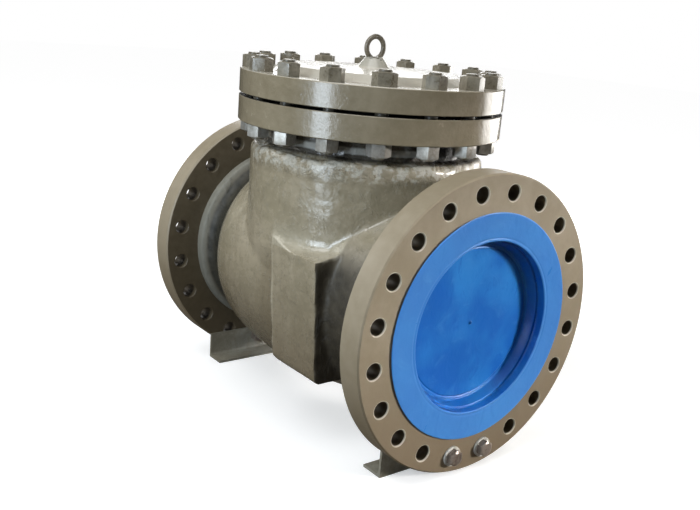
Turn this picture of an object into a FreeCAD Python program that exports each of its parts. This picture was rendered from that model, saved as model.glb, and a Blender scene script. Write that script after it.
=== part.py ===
import FreeCAD, Part

import math
import os

# A flanged swing non-return valve with a bolted cover, for a 400 mm line.
# The pipe axis runs along X with the inlet at +X, the cover faces +Z, and lengths are in millimetres.
# Shapes are drawn with the pipe axis at z = 0 and the hinge under the cover's centre line at x = 0,
# then raised so that the feet stand on z = 0.

# Pipe ends. The bore drives the radii and the heights
FACE_TO_FACE = 864.0
BORE_RADIUS = 193.5
HUB_WALL = 43.5
BOLT_ROOM = 48.75
FLANGE_EDGE = 38.25
FLANGE_THICKNESS = 60.0
FLANGE_RIM_CHAMFER = 3.0
RAISED_FACE_INSET = 2.0
RAISED_FACE_HEIGHT = 2.0
FLANGE_HOLES = 20
FLANGE_HOLE_RADIUS = 17.5
FLANGE_HOLE_CHAMFER = 1.5

HUB_RADIUS = BORE_RADIUS + HUB_WALL
FLANGE_PITCH_RADIUS = HUB_RADIUS + BOLT_ROOM
FLANGE_RADIUS = FLANGE_PITCH_RADIUS + FLANGE_EDGE
RAISED_FACE_RADIUS = HUB_RADIUS - RAISED_FACE_INSET
HALF_LENGTH = FACE_TO_FACE / 2
FLANGE_FRONT_X = HALF_LENGTH - RAISED_FACE_HEIGHT
FLANGE_BACK_X = FLANGE_FRONT_X - FLANGE_THICKNESS

# Barrel, whose outer radii are stated as what they add to the bore
HUB_LENGTH = 23.0
HUB_ROUND = 8.0
OUTLET_WAIST_WALL = 18.5
OUTLET_WAIST_FROM_FLANGE = 50.0
OUTLET_BELLY_WALL = 43.5
OUTLET_BELLY_FROM_FLANGE = 105.0
BELLY_SWELL = 74.5
BELLY_X = -85.0
BELLY_RISE = 7.0
INLET_BARREL_SWELL = 53.5
INLET_BARREL_PAST_SEAT = 45.0
INLET_WAIST_WALL = 34.5
INLET_WAIST_FROM_FLANGE = 95.0
BARREL_WALL = 22.0

OUTLET_WAIST_RADIUS = BORE_RADIUS + OUTLET_WAIST_WALL
BELLY_START_RADIUS = BORE_RADIUS + OUTLET_BELLY_WALL
BELLY_RADIUS = BORE_RADIUS + BELLY_SWELL
INLET_BARREL_RADIUS = BORE_RADIUS + INLET_BARREL_SWELL
INLET_WAIST_RADIUS = BORE_RADIUS + INLET_WAIST_WALL

# Neck, collar and body flange under the cover
NECK_PAST_BELLY = 2.0
NECK_WALL = 14.0
NECK_BLEND_TOP = 90.0
NECK_BLEND_DEPTH = 120.0
NECK_BLEND_INSET = 36.0
NECK_ABOVE_BORE = 106.5
NECK_SHOULDER_ROUND = 14.0
COLLAR_INSET = 33.0
COLLAR_HEIGHT = 55.0
COLLAR_ROOT_ROUND = 14.0
COLLAR_WALL = 24.0
NECK_ROOF = 14.0
BODY_FLANGE_THICKNESS = 56.0
BODY_FLANGE_CHAMFER = 2.0

NECK_RADIUS = BELLY_RADIUS + NECK_PAST_BELLY
NECK_INNER_RADIUS = NECK_RADIUS - NECK_WALL
NECK_TOP = BORE_RADIUS + NECK_ABOVE_BORE
NECK_ROOF_HEIGHT = NECK_TOP - NECK_ROOF
COLLAR_RADIUS = NECK_RADIUS - COLLAR_INSET
OPENING_RADIUS = COLLAR_RADIUS - COLLAR_WALL
BODY_FLANGE_BOTTOM = NECK_TOP + COLLAR_HEIGHT
BODY_FLANGE_TOP = BODY_FLANGE_BOTTOM + BODY_FLANGE_THICKNESS

# Square seat housing with flat sides, placed from the seat's wall inside
SEAT_FROM_NECK = 141.0
HOUSING_PAST_NECK = 1.0
HOUSING_SIDE_DRAFT = 17.0
HOUSING_BEHIND_SEAT = 83.0
HOUSING_AHEAD_OF_SEAT = 87.0
HOUSING_BOTTOM_INSET = 21.5
HOUSING_TOP_INSET = 89.5
HOUSING_TOP_SLOPE = 0.19
HOUSING_EDGE_ROUND = 20.0
HOUSING_FLARE = 30.0

SEAT_WALL_X = NECK_INNER_RADIUS - SEAT_FROM_NECK
INLET_BARREL_X = SEAT_WALL_X + INLET_BARREL_PAST_SEAT
HOUSING_HALF_WIDTH = NECK_RADIUS + HOUSING_PAST_NECK
HOUSING_BACK_X = SEAT_WALL_X - HOUSING_BEHIND_SEAT
HOUSING_FRONT_X = SEAT_WALL_X + HOUSING_AHEAD_OF_SEAT
HOUSING_BOTTOM = HOUSING_BOTTOM_INSET - BORE_RADIUS
HOUSING_TOP = BORE_RADIUS - HOUSING_TOP_INSET

# Cover and its gasket
GASKET_THICKNESS = 6.0
GASKET_WIDTH = 28.0
COVER_THICKNESS = 52.0
CROWN_EDGE = 23.0
CROWN_SLOPE_WIDTH = 24.0
CROWN_HEIGHT = 16.0
CROWN_RISE = 4.0
SPIGOT_DEPTH = 12.0
SPIGOT_CLEARANCE = 0.5

CROWN_RADIUS = OPENING_RADIUS + CROWN_EDGE
CROWN_TOP_RADIUS = CROWN_RADIUS - CROWN_SLOPE_WIDTH
COVER_BOTTOM = BODY_FLANGE_TOP + GASKET_THICKNESS
COVER_TOP = COVER_BOTTOM + COVER_THICKNESS
CROWN_TOP = COVER_TOP + CROWN_HEIGHT + CROWN_RISE

# Cover studs and nuts
STUDS = 16
STUD_RADIUS = 14.0
STUD_ROOM = 35.5
STUD_EDGE = 30.5
STUD_HOLE_CLEARANCE = 1.5
STUD_END_CHAMFER = 1.5
STUD_PROUD = 4.5
NUT_ACROSS_FLATS = 46.0
NUT_HEIGHT = 29.0
NUT_CORNER_CUT = 3.0
THREAD_CLEARANCE = 0.05
# How far each nut stops from having flats towards +X, in degrees, round the circle from +Y
UPPER_NUT_TURNS = (11, 34, 17, 21, 6, 20, 37, 58, 13, 22, 47, 5, 38, 16, 51, 27)
LOWER_NUT_TURNS = (40, 9, 29, 56, 50, 20, 51, 4, 58, 55, 18, 33, 2, 44, 25, 12)

STUD_PITCH_RADIUS = COLLAR_RADIUS + STUD_ROOM
COVER_RADIUS = STUD_PITCH_RADIUS + STUD_EDGE

# Lifting ring on its weld mound
MOUND_RADIUS = 38.0
MOUND_TOP_RADIUS = 20.0
MOUND_HEIGHT = 24.0
RING_OUTER_RADIUS = 30.5
RING_BAR_RADIUS = 5.8
RING_SUNK = 10.0
RING_TURN = 1.0

# Seat
SEAT_PROUD = 10.0
SEAT_RING_DEPTH = 22.0
SEAT_RING_WALL = 18.5
SEAT_FACE_WIDTH = 12.0

# Disc and its stud
DISC_OVERLAP = 11.5
DISC_RIM = 22.0
DISC_CENTRE = 35.0
DISC_DISH_RADIUS = 80.0
DISC_BOSS_RADIUS = 46.0
DISC_BOSS_HEIGHT = 8.0
DISC_STUD_RADIUS = 17.0
DISC_STUD_PROUD = 14.0
DISC_LUG_OFFSET = 75.0
DISC_LUG_SIZE = 12.0
DISC_LUG_CLEARANCE = 2.0

# Swing arm
ARM_EYE_RADIUS = 44.0
ARM_EYE_LENGTH = 34.0
ARM_EYE_CLEARANCE = 0.3
ARM_THICKNESS = 26.0
ARM_HALF_WIDTH = 22.0
ARM_WEB_INSET = 3.0
ARM_BOSS_RADIUS = 28.0
ARM_BOSS_HALF_LENGTH = 46.0
ARM_SHOULDER_DROP = 67.0
ARM_UPPER_TANGENT_ANGLE = 37.0
ARM_LOWER_TANGENT_ANGLE = -66.0
ARM_HEEL_LENGTH = 45.0
ARM_HEEL_HALF_THICKNESS = 8.0
OPEN_ANGLE = 55.0
STOP_GAP = 0.4
DISC_WASHER_RADIUS = 34.0
DISC_WASHER_THICKNESS = 5.0
DISC_NUT_ACROSS_FLATS = 50.0
DISC_NUT_HEIGHT = 26.0
COTTER_RADIUS = 2.5
COTTER_LEG = 9.0

# Hinge pin, bushes and bracket
PIN_BEHIND_SEAT = 20.0
PIN_ABOVE_BORE = 58.5
PIN_RADIUS = 14.0
PIN_OVERHANG = 14.0
PIN_CLEARANCE = 0.05
BUSH_WALL = 4.0
BUSH_LENGTH = 30.0
EAR_GAP = 2.0
EAR_THICKNESS = 26.0
EAR_RADIUS = 29.0
LEDGE_ABOVE_BORE = 28.5
BRACKET_FROM_PIN = 35.0
BRACKET_DEPTH = 73.0
BRACKET_PLATE_THICKNESS = 22.0
BRACKET_HALF_WIDTH = 116.0
BRACKET_BOLT_RADIUS = 10.0
BRACKET_BOLT_AF = 30.0
BRACKET_BOLT_HEAD = 13.0
BRACKET_BOLT_DEPTH = 18.0
BRACKET_BOLT_SPACING = 32.0
BRACKET_BOLT_HALF_SPREAD = 96.0

PIN_X = SEAT_WALL_X - PIN_BEHIND_SEAT
PIN_HEIGHT = BORE_RADIUS + PIN_ABOVE_BORE
LEDGE_HEIGHT = BORE_RADIUS + LEDGE_ABOVE_BORE
BRACKET_FRONT_X = PIN_X + BRACKET_FROM_PIN
BRACKET_BACK_X = BRACKET_FRONT_X + BRACKET_DEPTH

# Push-in plastic covers that close both pipe ends
CAP_PAST_FACE = 11.5
CAP_RIM_THICKNESS = 3.0
CAP_MOUTH_WALL = 7.5
CAP_LIP_ROUND = 4.0
CAP_DEPTH = 40.0
CAP_STEP_DEPTH = 20.0
CAP_STEP_WIDTH = 5.0
CAP_FLOOR_INSET = 14.0
CAP_WALL = 4.0
CAP_FIT = 0.3
CAP_NUB_RADIUS = 3.0

CAP_RADIUS = RAISED_FACE_RADIUS + CAP_PAST_FACE
CAP_MOUTH_RADIUS = BORE_RADIUS - CAP_MOUTH_WALL
CAP_FLOOR_RADIUS = CAP_MOUTH_RADIUS - CAP_FLOOR_INSET

# Angle-iron feet and their bolts
FLOOR_GAP = 2.0
FOOT_LENGTH = 376.0
FOOT_HEIGHT = 66.0
FOOT_WIDTH = 56.0
FOOT_THICKNESS = 6.0
FOOT_ROOT_ROUND = 7.0
FOOT_BOLT_RADIUS = 11.0
FOOT_BOLT_AF = 33.0
FOOT_BOLT_HEAD = 14.0
FOOT_WASHER_RADIUS = 22.5
FOOT_WASHER_THICKNESS = 4.0
FOOT_NUT_HEIGHT = 22.0
FOOT_BOLT_PROUD = 6.0
FOOT_HOLE_CLEARANCE = 1.0

# Places that follow from the sizes above
AXIS_HEIGHT = FLANGE_RADIUS + FLOOR_GAP
SEAT_FACE_X = SEAT_WALL_X - SEAT_PROUD
SEAT_BACK_X = SEAT_WALL_X + SEAT_RING_DEPTH
SEAT_RING_RADIUS = BORE_RADIUS + SEAT_RING_WALL
DISC_RADIUS = BORE_RADIUS + DISC_OVERLAP
DISC_BOSS_X = SEAT_FACE_X - DISC_CENTRE - DISC_BOSS_HEIGHT
ARM_BACK_X = DISC_BOSS_X - ARM_EYE_LENGTH
NUT_FACE_X = ARM_BACK_X - DISC_WASHER_THICKNESS
NUT_END_X = NUT_FACE_X - DISC_NUT_HEIGHT
DISC_STUD_END_X = NUT_END_X - DISC_STUD_PROUD
BUSH_RADIUS = PIN_RADIUS + PIN_CLEARANCE + BUSH_WALL
EAR_INNER_Y = ARM_BOSS_HALF_LENGTH + EAR_GAP
EAR_OUTER_Y = EAR_INNER_Y + EAR_THICKNESS
PIN_HALF_LENGTH = EAR_OUTER_Y + PIN_OVERHANG
BRACKET_TOP = LEDGE_HEIGHT + BRACKET_PLATE_THICKNESS
FOOT_HOLE_ANGLE = 180.0 / FLANGE_HOLES
FOOT_BOLT_Y = FLANGE_PITCH_RADIUS * math.sin(math.radians(FOOT_HOLE_ANGLE))
FOOT_BOLT_Z = -FLANGE_PITCH_RADIUS * math.cos(math.radians(FOOT_HOLE_ANGLE))

ORIGIN = FreeCAD.Vector(0, 0, 0)
X_AXIS = FreeCAD.Vector(1, 0, 0)
Y_AXIS = FreeCAD.Vector(0, 1, 0)
Z_AXIS = FreeCAD.Vector(0, 0, 1)
HEXAGON_FLAT_TURN = 30.0


class Outline:
    """A closed outline in the plane y = 0, drawn from point to point as (x, z)."""

    def __init__(self, x, z):
        self.start = FreeCAD.Vector(x, 0, z)
        self.here = self.start
        self.edges = []

    def line(self, x, z):
        end = FreeCAD.Vector(x, 0, z)
        self.edges.append(Part.LineSegment(self.here, end).toShape())
        self.here = end
        return self

    def arc(self, middle, end):
        through = FreeCAD.Vector(middle[0], 0, middle[1])
        last = FreeCAD.Vector(end[0], 0, end[1])
        self.edges.append(Part.Arc(self.here, through, last).toShape())
        self.here = last
        return self

    def curve(self, *points):
        """Run a smooth curve from here through the points."""
        places = [self.here] + [FreeCAD.Vector(x, 0, z) for x, z in points]
        spline = Part.BSplineCurve()
        spline.interpolate(places)
        self.edges.append(spline.toShape())
        self.here = places[-1]
        return self

    def face(self):
        if not self.here.isEqual(self.start, 1e-6):
            self.line(self.start.x, self.start.z)
        return Part.Face(Part.Wire(self.edges))

    def turned_about_x(self):
        return self.face().revolve(ORIGIN, X_AXIS, 360)

    def turned_about_z(self):
        return self.face().revolve(ORIGIN, Z_AXIS, 360)

    def prism(self, half_width):
        face = self.face()
        face.translate(FreeCAD.Vector(0, -half_width, 0))
        return face.extrude(FreeCAD.Vector(0, 2 * half_width, 0))


def rounded_corner(corner, radius, quadrant):
    """The middle of a quarter round of this radius inside a corner, towards the quadrant's signs."""
    inset = radius * (1 - math.sqrt(0.5))
    return (corner[0] + quadrant[0] * inset, corner[1] + quadrant[1] * inset)


def rod(start, end, radius):
    along = FreeCAD.Vector(*end) - FreeCAD.Vector(*start)
    return Part.makeCylinder(radius, along.Length, FreeCAD.Vector(*start), along)


def through_hole(depth, radius, chamfer):
    """The space of a hole from z = 0 up to this depth, with both of its edges chamfered."""
    lines = Outline(0, -1).line(radius + chamfer + 1, -1).line(radius, chamfer)
    lines.line(radius, depth - chamfer).line(radius + chamfer + 1, depth + 1).line(0, depth + 1)
    return lines.turned_about_z()


def block(low, high):
    size = [high[i] - low[i] for i in range(3)]
    return Part.makeBox(size[0], size[1], size[2], FreeCAD.Vector(*low))


def fused(first, *others):
    return first.fuse(list(others)).removeSplitter()


def ring_places(count, radius):
    """Places on a circle with the first half a pitch from its start, as (across, up)."""
    angles = [2 * math.pi * (i + 0.5) / count for i in range(count)]
    return [(radius * math.sin(a), radius * math.cos(a)) for a in angles]


def hexagon_bar(across_flats, height):
    """A hexagonal bar that stands on z = 0 with flats towards +Y and -Y."""
    corner = across_flats / math.sqrt(3)
    angles = [math.radians(60 * i) for i in range(7)]
    points = [FreeCAD.Vector(corner * math.cos(a), corner * math.sin(a), 0) for a in angles]
    return Part.Face(Part.makePolygon(points)).extrude(FreeCAD.Vector(0, 0, height))


def hexagon_head(across_flats, height):
    """A hexagonal head whose corners are turned off at its outer end."""
    corner = across_flats / math.sqrt(3)
    turned = Outline(0, 0).line(corner, 0).line(corner, height - NUT_CORNER_CUT)
    turned.line(corner - 2 * NUT_CORNER_CUT, height).line(0, height)
    return hexagon_bar(across_flats, height).common(turned.turned_about_z())


def hexagon_nut(across_flats, height, bolt_radius):
    hole = rod((0, 0, -1), (0, 0, height + 1), bolt_radius + THREAD_CLEARANCE)
    return hexagon_head(across_flats, height).cut(hole)


def placed(shape, position, outward):
    """Put a shape drawn up +Z at a position, with its +Z turned outward."""
    turned = shape.copy()
    turned.Placement = FreeCAD.Placement(FreeCAD.Vector(*position), FreeCAD.Rotation(Z_AXIS, outward))
    return turned


def mirrored_end(shape):
    return shape.mirror(ORIGIN, X_AXIS)


def group(shapes):
    return Part.makeCompound(shapes)


# Body casting


def barrel_skin():
    """The barrel's outer form: two hubs, a waist behind the outlet flange and a belly."""
    outlet = -FLANGE_BACK_X
    inlet = FLANGE_BACK_X
    hub_top = HUB_LENGTH - HUB_ROUND
    lines = Outline(outlet, 0).line(outlet, HUB_RADIUS).line(outlet + hub_top, HUB_RADIUS)
    lines.arc(
        rounded_corner((outlet + HUB_LENGTH, HUB_RADIUS), HUB_ROUND, (-1, -1)),
        (outlet + HUB_LENGTH, HUB_RADIUS - HUB_ROUND),
    )
    lines.curve(
        (outlet + OUTLET_WAIST_FROM_FLANGE, OUTLET_WAIST_RADIUS),
        (outlet + OUTLET_BELLY_FROM_FLANGE, BELLY_START_RADIUS),
        ((outlet + OUTLET_BELLY_FROM_FLANGE + BELLY_X) / 2, BELLY_RADIUS - BELLY_RISE),
        (BELLY_X, BELLY_RADIUS),
        (INLET_BARREL_X, INLET_BARREL_RADIUS),
        (inlet - INLET_WAIST_FROM_FLANGE, INLET_WAIST_RADIUS),
        (inlet - HUB_LENGTH, HUB_RADIUS - HUB_ROUND),
    )
    lines.arc(
        rounded_corner((inlet - HUB_LENGTH, HUB_RADIUS), HUB_ROUND, (1, -1)),
        (inlet - hub_top, HUB_RADIUS),
    )
    lines.line(inlet, HUB_RADIUS).line(inlet, 0)
    return lines.turned_about_x()


def end_flange():
    """The inlet flange with its raised face and its ring of holes."""
    rim = FLANGE_RADIUS - FLANGE_RIM_CHAMFER
    lines = Outline(FLANGE_BACK_X, 0).line(FLANGE_BACK_X, rim)
    lines.line(FLANGE_BACK_X + FLANGE_RIM_CHAMFER, FLANGE_RADIUS)
    lines.line(FLANGE_FRONT_X - FLANGE_RIM_CHAMFER, FLANGE_RADIUS).line(FLANGE_FRONT_X, rim)
    lines.line(FLANGE_FRONT_X, RAISED_FACE_RADIUS).line(HALF_LENGTH, RAISED_FACE_RADIUS)
    lines.line(HALF_LENGTH, 0)
    hole = through_hole(FLANGE_THICKNESS, FLANGE_HOLE_RADIUS, FLANGE_HOLE_CHAMFER)
    holes = [
        placed(hole, (FLANGE_BACK_X, y, z), X_AXIS)
        for y, z in ring_places(FLANGE_HOLES, FLANGE_PITCH_RADIUS)
    ]
    return lines.turned_about_x().cut(holes)


def housing_section():
    """Half of the housing's section across the pipe, with its drafted side and rounded lower edge."""
    wall = HOUSING_HALF_WIDTH
    lower_wall = wall - HOUSING_SIDE_DRAFT
    round_middle = rounded_corner((lower_wall, HOUSING_BOTTOM), HOUSING_EDGE_ROUND, (-1, 1))
    half = Outline(0, HOUSING_TOP + HOUSING_TOP_SLOPE * wall).line(wall, HOUSING_TOP)
    half.line(lower_wall, HOUSING_BOTTOM + HOUSING_EDGE_ROUND)
    half.arc(round_middle, (lower_wall - HOUSING_EDGE_ROUND, HOUSING_BOTTOM))
    return half.line(0, HOUSING_BOTTOM).face()


def seat_housing():
    """The square housing around the seat, with its lower back edge rounded."""
    across = housing_section()
    across.rotate(ORIGIN, Z_AXIS, 90)
    half = across.extrude(FreeCAD.Vector(HOUSING_FRONT_X, 0, 0))
    section = half.fuse(half.mirror(ORIGIN, Y_AXIS)).removeSplitter()
    side = Outline(HOUSING_BACK_X, HOUSING_TOP + NECK_RADIUS)
    side.line(HOUSING_FRONT_X + 1, HOUSING_TOP + NECK_RADIUS).line(HOUSING_FRONT_X + 1, HOUSING_BOTTOM - 1)
    side.line(HOUSING_BACK_X + HOUSING_EDGE_ROUND, HOUSING_BOTTOM - 1)
    side.line(HOUSING_BACK_X + HOUSING_EDGE_ROUND, HOUSING_BOTTOM)
    side.arc(
        rounded_corner((HOUSING_BACK_X, HOUSING_BOTTOM), HOUSING_EDGE_ROUND, (1, 1)),
        (HOUSING_BACK_X, HOUSING_BOTTOM + HOUSING_EDGE_ROUND),
    )
    return section.common(side.prism(HOUSING_HALF_WIDTH))


def housing_flare():
    """The concave sweep from the neck down to the housing's top, inside the housing's outline."""
    reach = NECK_RADIUS + HOUSING_FLARE
    low = HOUSING_TOP
    top = low + HOUSING_FLARE
    inset = HOUSING_FLARE * (1 - math.sqrt(0.5))
    lines = Outline(NECK_RADIUS - 10, low - 10).line(NECK_RADIUS - 10, top)
    lines.line(NECK_RADIUS, top).arc((NECK_RADIUS + inset, low + inset), (reach, low))
    lines.line(reach, low - 10)
    wall = HOUSING_HALF_WIDTH
    limits = block((HOUSING_BACK_X, -wall, low - 10), (HOUSING_FRONT_X, wall, top + 1))
    return lines.turned_about_z().common(limits)


def neck_skin():
    """The round neck with its shoulder and the collar that carries the body flange."""
    flange = BODY_FLANGE_BOTTOM
    edge = COVER_RADIUS - BODY_FLANGE_CHAMFER
    lines = Outline(0, -NECK_BLEND_DEPTH).line(NECK_RADIUS - NECK_BLEND_INSET, -NECK_BLEND_DEPTH)
    lines.curve((NECK_RADIUS - NECK_BLEND_INSET / 3, 0), (NECK_RADIUS, NECK_BLEND_TOP))
    lines.line(NECK_RADIUS, NECK_TOP - NECK_SHOULDER_ROUND)
    lines.arc(
        rounded_corner((NECK_RADIUS, NECK_TOP), NECK_SHOULDER_ROUND, (-1, -1)),
        (NECK_RADIUS - NECK_SHOULDER_ROUND, NECK_TOP),
    )
    lines.line(COLLAR_RADIUS + COLLAR_ROOT_ROUND, NECK_TOP)
    lines.arc(
        rounded_corner((COLLAR_RADIUS, NECK_TOP), COLLAR_ROOT_ROUND, (1, 1)),
        (COLLAR_RADIUS, NECK_TOP + COLLAR_ROOT_ROUND),
    )
    lines.line(COLLAR_RADIUS, flange).line(edge, flange)
    lines.line(COVER_RADIUS, flange + BODY_FLANGE_CHAMFER)
    lines.line(COVER_RADIUS, BODY_FLANGE_TOP - BODY_FLANGE_CHAMFER)
    lines.line(edge, BODY_FLANGE_TOP).line(0, BODY_FLANGE_TOP)
    holes = [
        rod((x, y, flange - 1), (x, y, BODY_FLANGE_TOP + 1), STUD_RADIUS + STUD_HOLE_CLEARANCE)
        for x, y in ring_places(STUDS, STUD_PITCH_RADIUS)
    ]
    return lines.turned_about_z().cut(holes)


def chamber():
    """The space inside: the swing chamber, the neck above it, the ledge and both bores."""
    outlet = -FLANGE_BACK_X
    belly_start = outlet + OUTLET_BELLY_FROM_FLANGE
    lines = Outline(-HALF_LENGTH - 1, 0).line(-HALF_LENGTH - 1, BORE_RADIUS)
    lines.line(outlet + OUTLET_WAIST_FROM_FLANGE, BORE_RADIUS)
    lines.curve(
        (belly_start, BELLY_START_RADIUS - BARREL_WALL),
        ((belly_start + BELLY_X) / 2, BELLY_RADIUS - BELLY_RISE - BARREL_WALL),
        (BELLY_X, BELLY_RADIUS - BARREL_WALL),
        (SEAT_WALL_X, INLET_BARREL_RADIUS - BARREL_WALL / 2),
    )
    lines.line(SEAT_WALL_X, 0)
    swing_space = lines.turned_about_x()
    neck_lines = Outline(0, 0).line(NECK_INNER_RADIUS - NECK_WALL, 0)
    neck_lines.line(NECK_INNER_RADIUS, NECK_BLEND_TOP).line(NECK_INNER_RADIUS, NECK_ROOF_HEIGHT)
    neck_space = neck_lines.line(0, NECK_ROOF_HEIGHT).turned_about_z()
    bridge = block(
        (SEAT_WALL_X, -NECK_RADIUS, -1), (NECK_RADIUS, NECK_RADIUS, LEDGE_HEIGHT)
    )
    opening = rod((0, 0, NECK_ROOF_HEIGHT - 1), (0, 0, BODY_FLANGE_TOP + 1), OPENING_RADIUS)
    inlet = rod((SEAT_WALL_X - 1, 0, 0), (HALF_LENGTH + 1, 0, 0), BORE_RADIUS)
    recess = rod((SEAT_WALL_X - 1, 0, 0), (SEAT_BACK_X, 0, 0), SEAT_RING_RADIUS)
    return fused(swing_space, neck_space.cut(bridge), opening, inlet, recess)


def bracket_bolt_places():
    middle = (BRACKET_FRONT_X + BRACKET_BACK_X) / 2
    return [
        (middle + i * BRACKET_BOLT_SPACING / 2, j * BRACKET_BOLT_HALF_SPREAD)
        for i in (-1, 1)
        for j in (-1, 1)
    ]


def valve_body():
    skin = fused(
        barrel_skin(),
        neck_skin(),
        seat_housing(),
        housing_flare(),
        end_flange(),
        mirrored_end(end_flange()),
    )
    bolt_holes = [
        rod((x, y, LEDGE_HEIGHT - BRACKET_BOLT_DEPTH), (x, y, LEDGE_HEIGHT + 1), BRACKET_BOLT_RADIUS)
        for x, y in bracket_bolt_places()
    ]
    return skin.cut([chamber()] + bolt_holes)


# Seat and disc


def seat_ring():
    """The renewable seat, pressed in its recess, with a raised face for the disc."""
    face_outer = BORE_RADIUS + SEAT_FACE_WIDTH
    lines = Outline(SEAT_BACK_X, BORE_RADIUS).line(SEAT_BACK_X, SEAT_RING_RADIUS)
    lines.line(SEAT_WALL_X, SEAT_RING_RADIUS).line(SEAT_FACE_X, face_outer)
    lines.line(SEAT_FACE_X, BORE_RADIUS)
    return lines.turned_about_x()


def disc():
    """The disc with its seating face, its stiff centre, its stud and the lugs that stop it turning."""
    back = SEAT_FACE_X - DISC_RIM
    centre = SEAT_FACE_X - DISC_CENTRE
    lines = Outline(SEAT_FACE_X, 0).line(SEAT_FACE_X, DISC_RADIUS).line(back, DISC_RADIUS)
    lines.line(centre, DISC_DISH_RADIUS).line(centre, DISC_BOSS_RADIUS)
    lines.line(DISC_BOSS_X, DISC_BOSS_RADIUS).line(DISC_BOSS_X, DISC_STUD_RADIUS)
    lines.line(DISC_STUD_END_X, DISC_STUD_RADIUS).line(DISC_STUD_END_X, 0)
    plate = lines.turned_about_x()
    inner = ARM_HALF_WIDTH + DISC_LUG_CLEARANCE
    low = DISC_LUG_OFFSET - DISC_LUG_SIZE
    lugs = [
        block((DISC_BOSS_X - DISC_LUG_SIZE, y, low), (back, y + DISC_LUG_SIZE, DISC_LUG_OFFSET))
        for y in (-inner - DISC_LUG_SIZE, inner)
    ]
    return fused(plate, *lugs).cut(cotter_hole())


def cotter_x():
    return NUT_END_X - 2 * COTTER_RADIUS - THREAD_CLEARANCE


def cotter_hole():
    reach = DISC_STUD_RADIUS + 1
    return rod((cotter_x(), -reach, 0), (cotter_x(), reach, 0), COTTER_RADIUS + THREAD_CLEARANCE)


def split_pin(reach):
    """A split pin along Y with a round head at one end and its two legs bent flat at the other."""
    shank = rod((0, -reach, 0), (0, reach, 0), COTTER_RADIUS)
    head = Part.makeSphere(COTTER_RADIUS * 2, FreeCAD.Vector(0, -reach - COTTER_RADIUS, 0))
    end_y = reach - COTTER_RADIUS
    legs = rod((0, end_y, -COTTER_LEG), (0, end_y, COTTER_LEG), COTTER_RADIUS)
    tail = legs.cut(block((-COTTER_RADIUS, end_y - COTTER_RADIUS, -COTTER_RADIUS), (0, end_y, 0)))
    return fused(shank, head, tail)


def disc_cotter():
    pin = split_pin(DISC_STUD_RADIUS + 3 * COTTER_RADIUS)
    pin.translate(FreeCAD.Vector(cotter_x(), 0, 0))
    return pin


def disc_washer():
    ring = rod((NUT_FACE_X, 0, 0), (ARM_BACK_X, 0, 0), DISC_WASHER_RADIUS)
    hole = rod((NUT_FACE_X - 1, 0, 0), (ARM_BACK_X + 1, 0, 0), DISC_STUD_RADIUS + ARM_EYE_CLEARANCE)
    return ring.cut(hole)


def disc_nut():
    nut = hexagon_nut(DISC_NUT_ACROSS_FLATS, DISC_NUT_HEIGHT, DISC_STUD_RADIUS)
    return placed(nut, (NUT_FACE_X, 0, 0), -X_AXIS)


# Hinge


def hinge_arm():
    """The arm from the disc's eye up to the pin boss, with the heel that meets the stop."""
    eye = rod((ARM_BACK_X, 0, 0), (DISC_BOSS_X, 0, 0), ARM_EYE_RADIUS)
    back = ARM_BACK_X + ARM_WEB_INSET
    front = back + ARM_THICKNESS
    shoulder = PIN_HEIGHT - ARM_SHOULDER_DROP
    upper_turn = math.radians(ARM_UPPER_TANGENT_ANGLE)
    lower_turn = math.radians(ARM_LOWER_TANGENT_ANGLE)
    upper = (
        PIN_X - ARM_BOSS_RADIUS * math.cos(upper_turn),
        PIN_HEIGHT + ARM_BOSS_RADIUS * math.sin(upper_turn),
    )
    lower = (
        PIN_X - ARM_BOSS_RADIUS * math.cos(lower_turn),
        PIN_HEIGHT + ARM_BOSS_RADIUS * math.sin(lower_turn),
    )
    web = Outline(back, 0).line(back, shoulder).line(*upper).line(PIN_X, PIN_HEIGHT)
    web.line(*lower).line(front, shoulder).line(front, 0)
    boss = rod(
        (PIN_X, -ARM_BOSS_HALF_LENGTH, PIN_HEIGHT),
        (PIN_X, ARM_BOSS_HALF_LENGTH, PIN_HEIGHT),
        ARM_BOSS_RADIUS,
    )
    half = ARM_HEEL_HALF_THICKNESS
    heel = block(
        (PIN_X - half, -ARM_HALF_WIDTH, PIN_HEIGHT),
        (PIN_X + half, ARM_HALF_WIDTH, PIN_HEIGHT + ARM_HEEL_LENGTH),
    )
    stud_hole = rod(
        (ARM_BACK_X - 1, 0, 0), (DISC_BOSS_X + 1, 0, 0), DISC_STUD_RADIUS + ARM_EYE_CLEARANCE
    )
    bush_hole = rod(
        (PIN_X, -ARM_BOSS_HALF_LENGTH - 1, PIN_HEIGHT),
        (PIN_X, ARM_BOSS_HALF_LENGTH + 1, PIN_HEIGHT),
        BUSH_RADIUS,
    )
    return fused(eye, web.prism(ARM_HALF_WIDTH), boss, heel).cut([stud_hole, bush_hole])


def hinge_bushes():
    rings = []
    for side in (-1, 1):
        outer = (PIN_X, side * ARM_BOSS_HALF_LENGTH, PIN_HEIGHT)
        inner = (PIN_X, side * (ARM_BOSS_HALF_LENGTH - BUSH_LENGTH), PIN_HEIGHT)
        rings.append(rod(inner, outer, BUSH_RADIUS).cut(rod(inner, outer, PIN_RADIUS + PIN_CLEARANCE)))
    return group(rings)


def pin_cotter_y():
    return EAR_OUTER_Y + 2 * COTTER_RADIUS + THREAD_CLEARANCE


def hinge_pin():
    ends = [(PIN_X, y, PIN_HEIGHT) for y in (-PIN_HALF_LENGTH, PIN_HALF_LENGTH)]
    reach = PIN_RADIUS + 1
    holes = [
        rod(
            (PIN_X, y, PIN_HEIGHT - reach),
            (PIN_X, y, PIN_HEIGHT + reach),
            COTTER_RADIUS + THREAD_CLEARANCE,
        )
        for y in (-pin_cotter_y(), pin_cotter_y())
    ]
    return rod(ends[0], ends[1], PIN_RADIUS).cut(holes)


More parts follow.
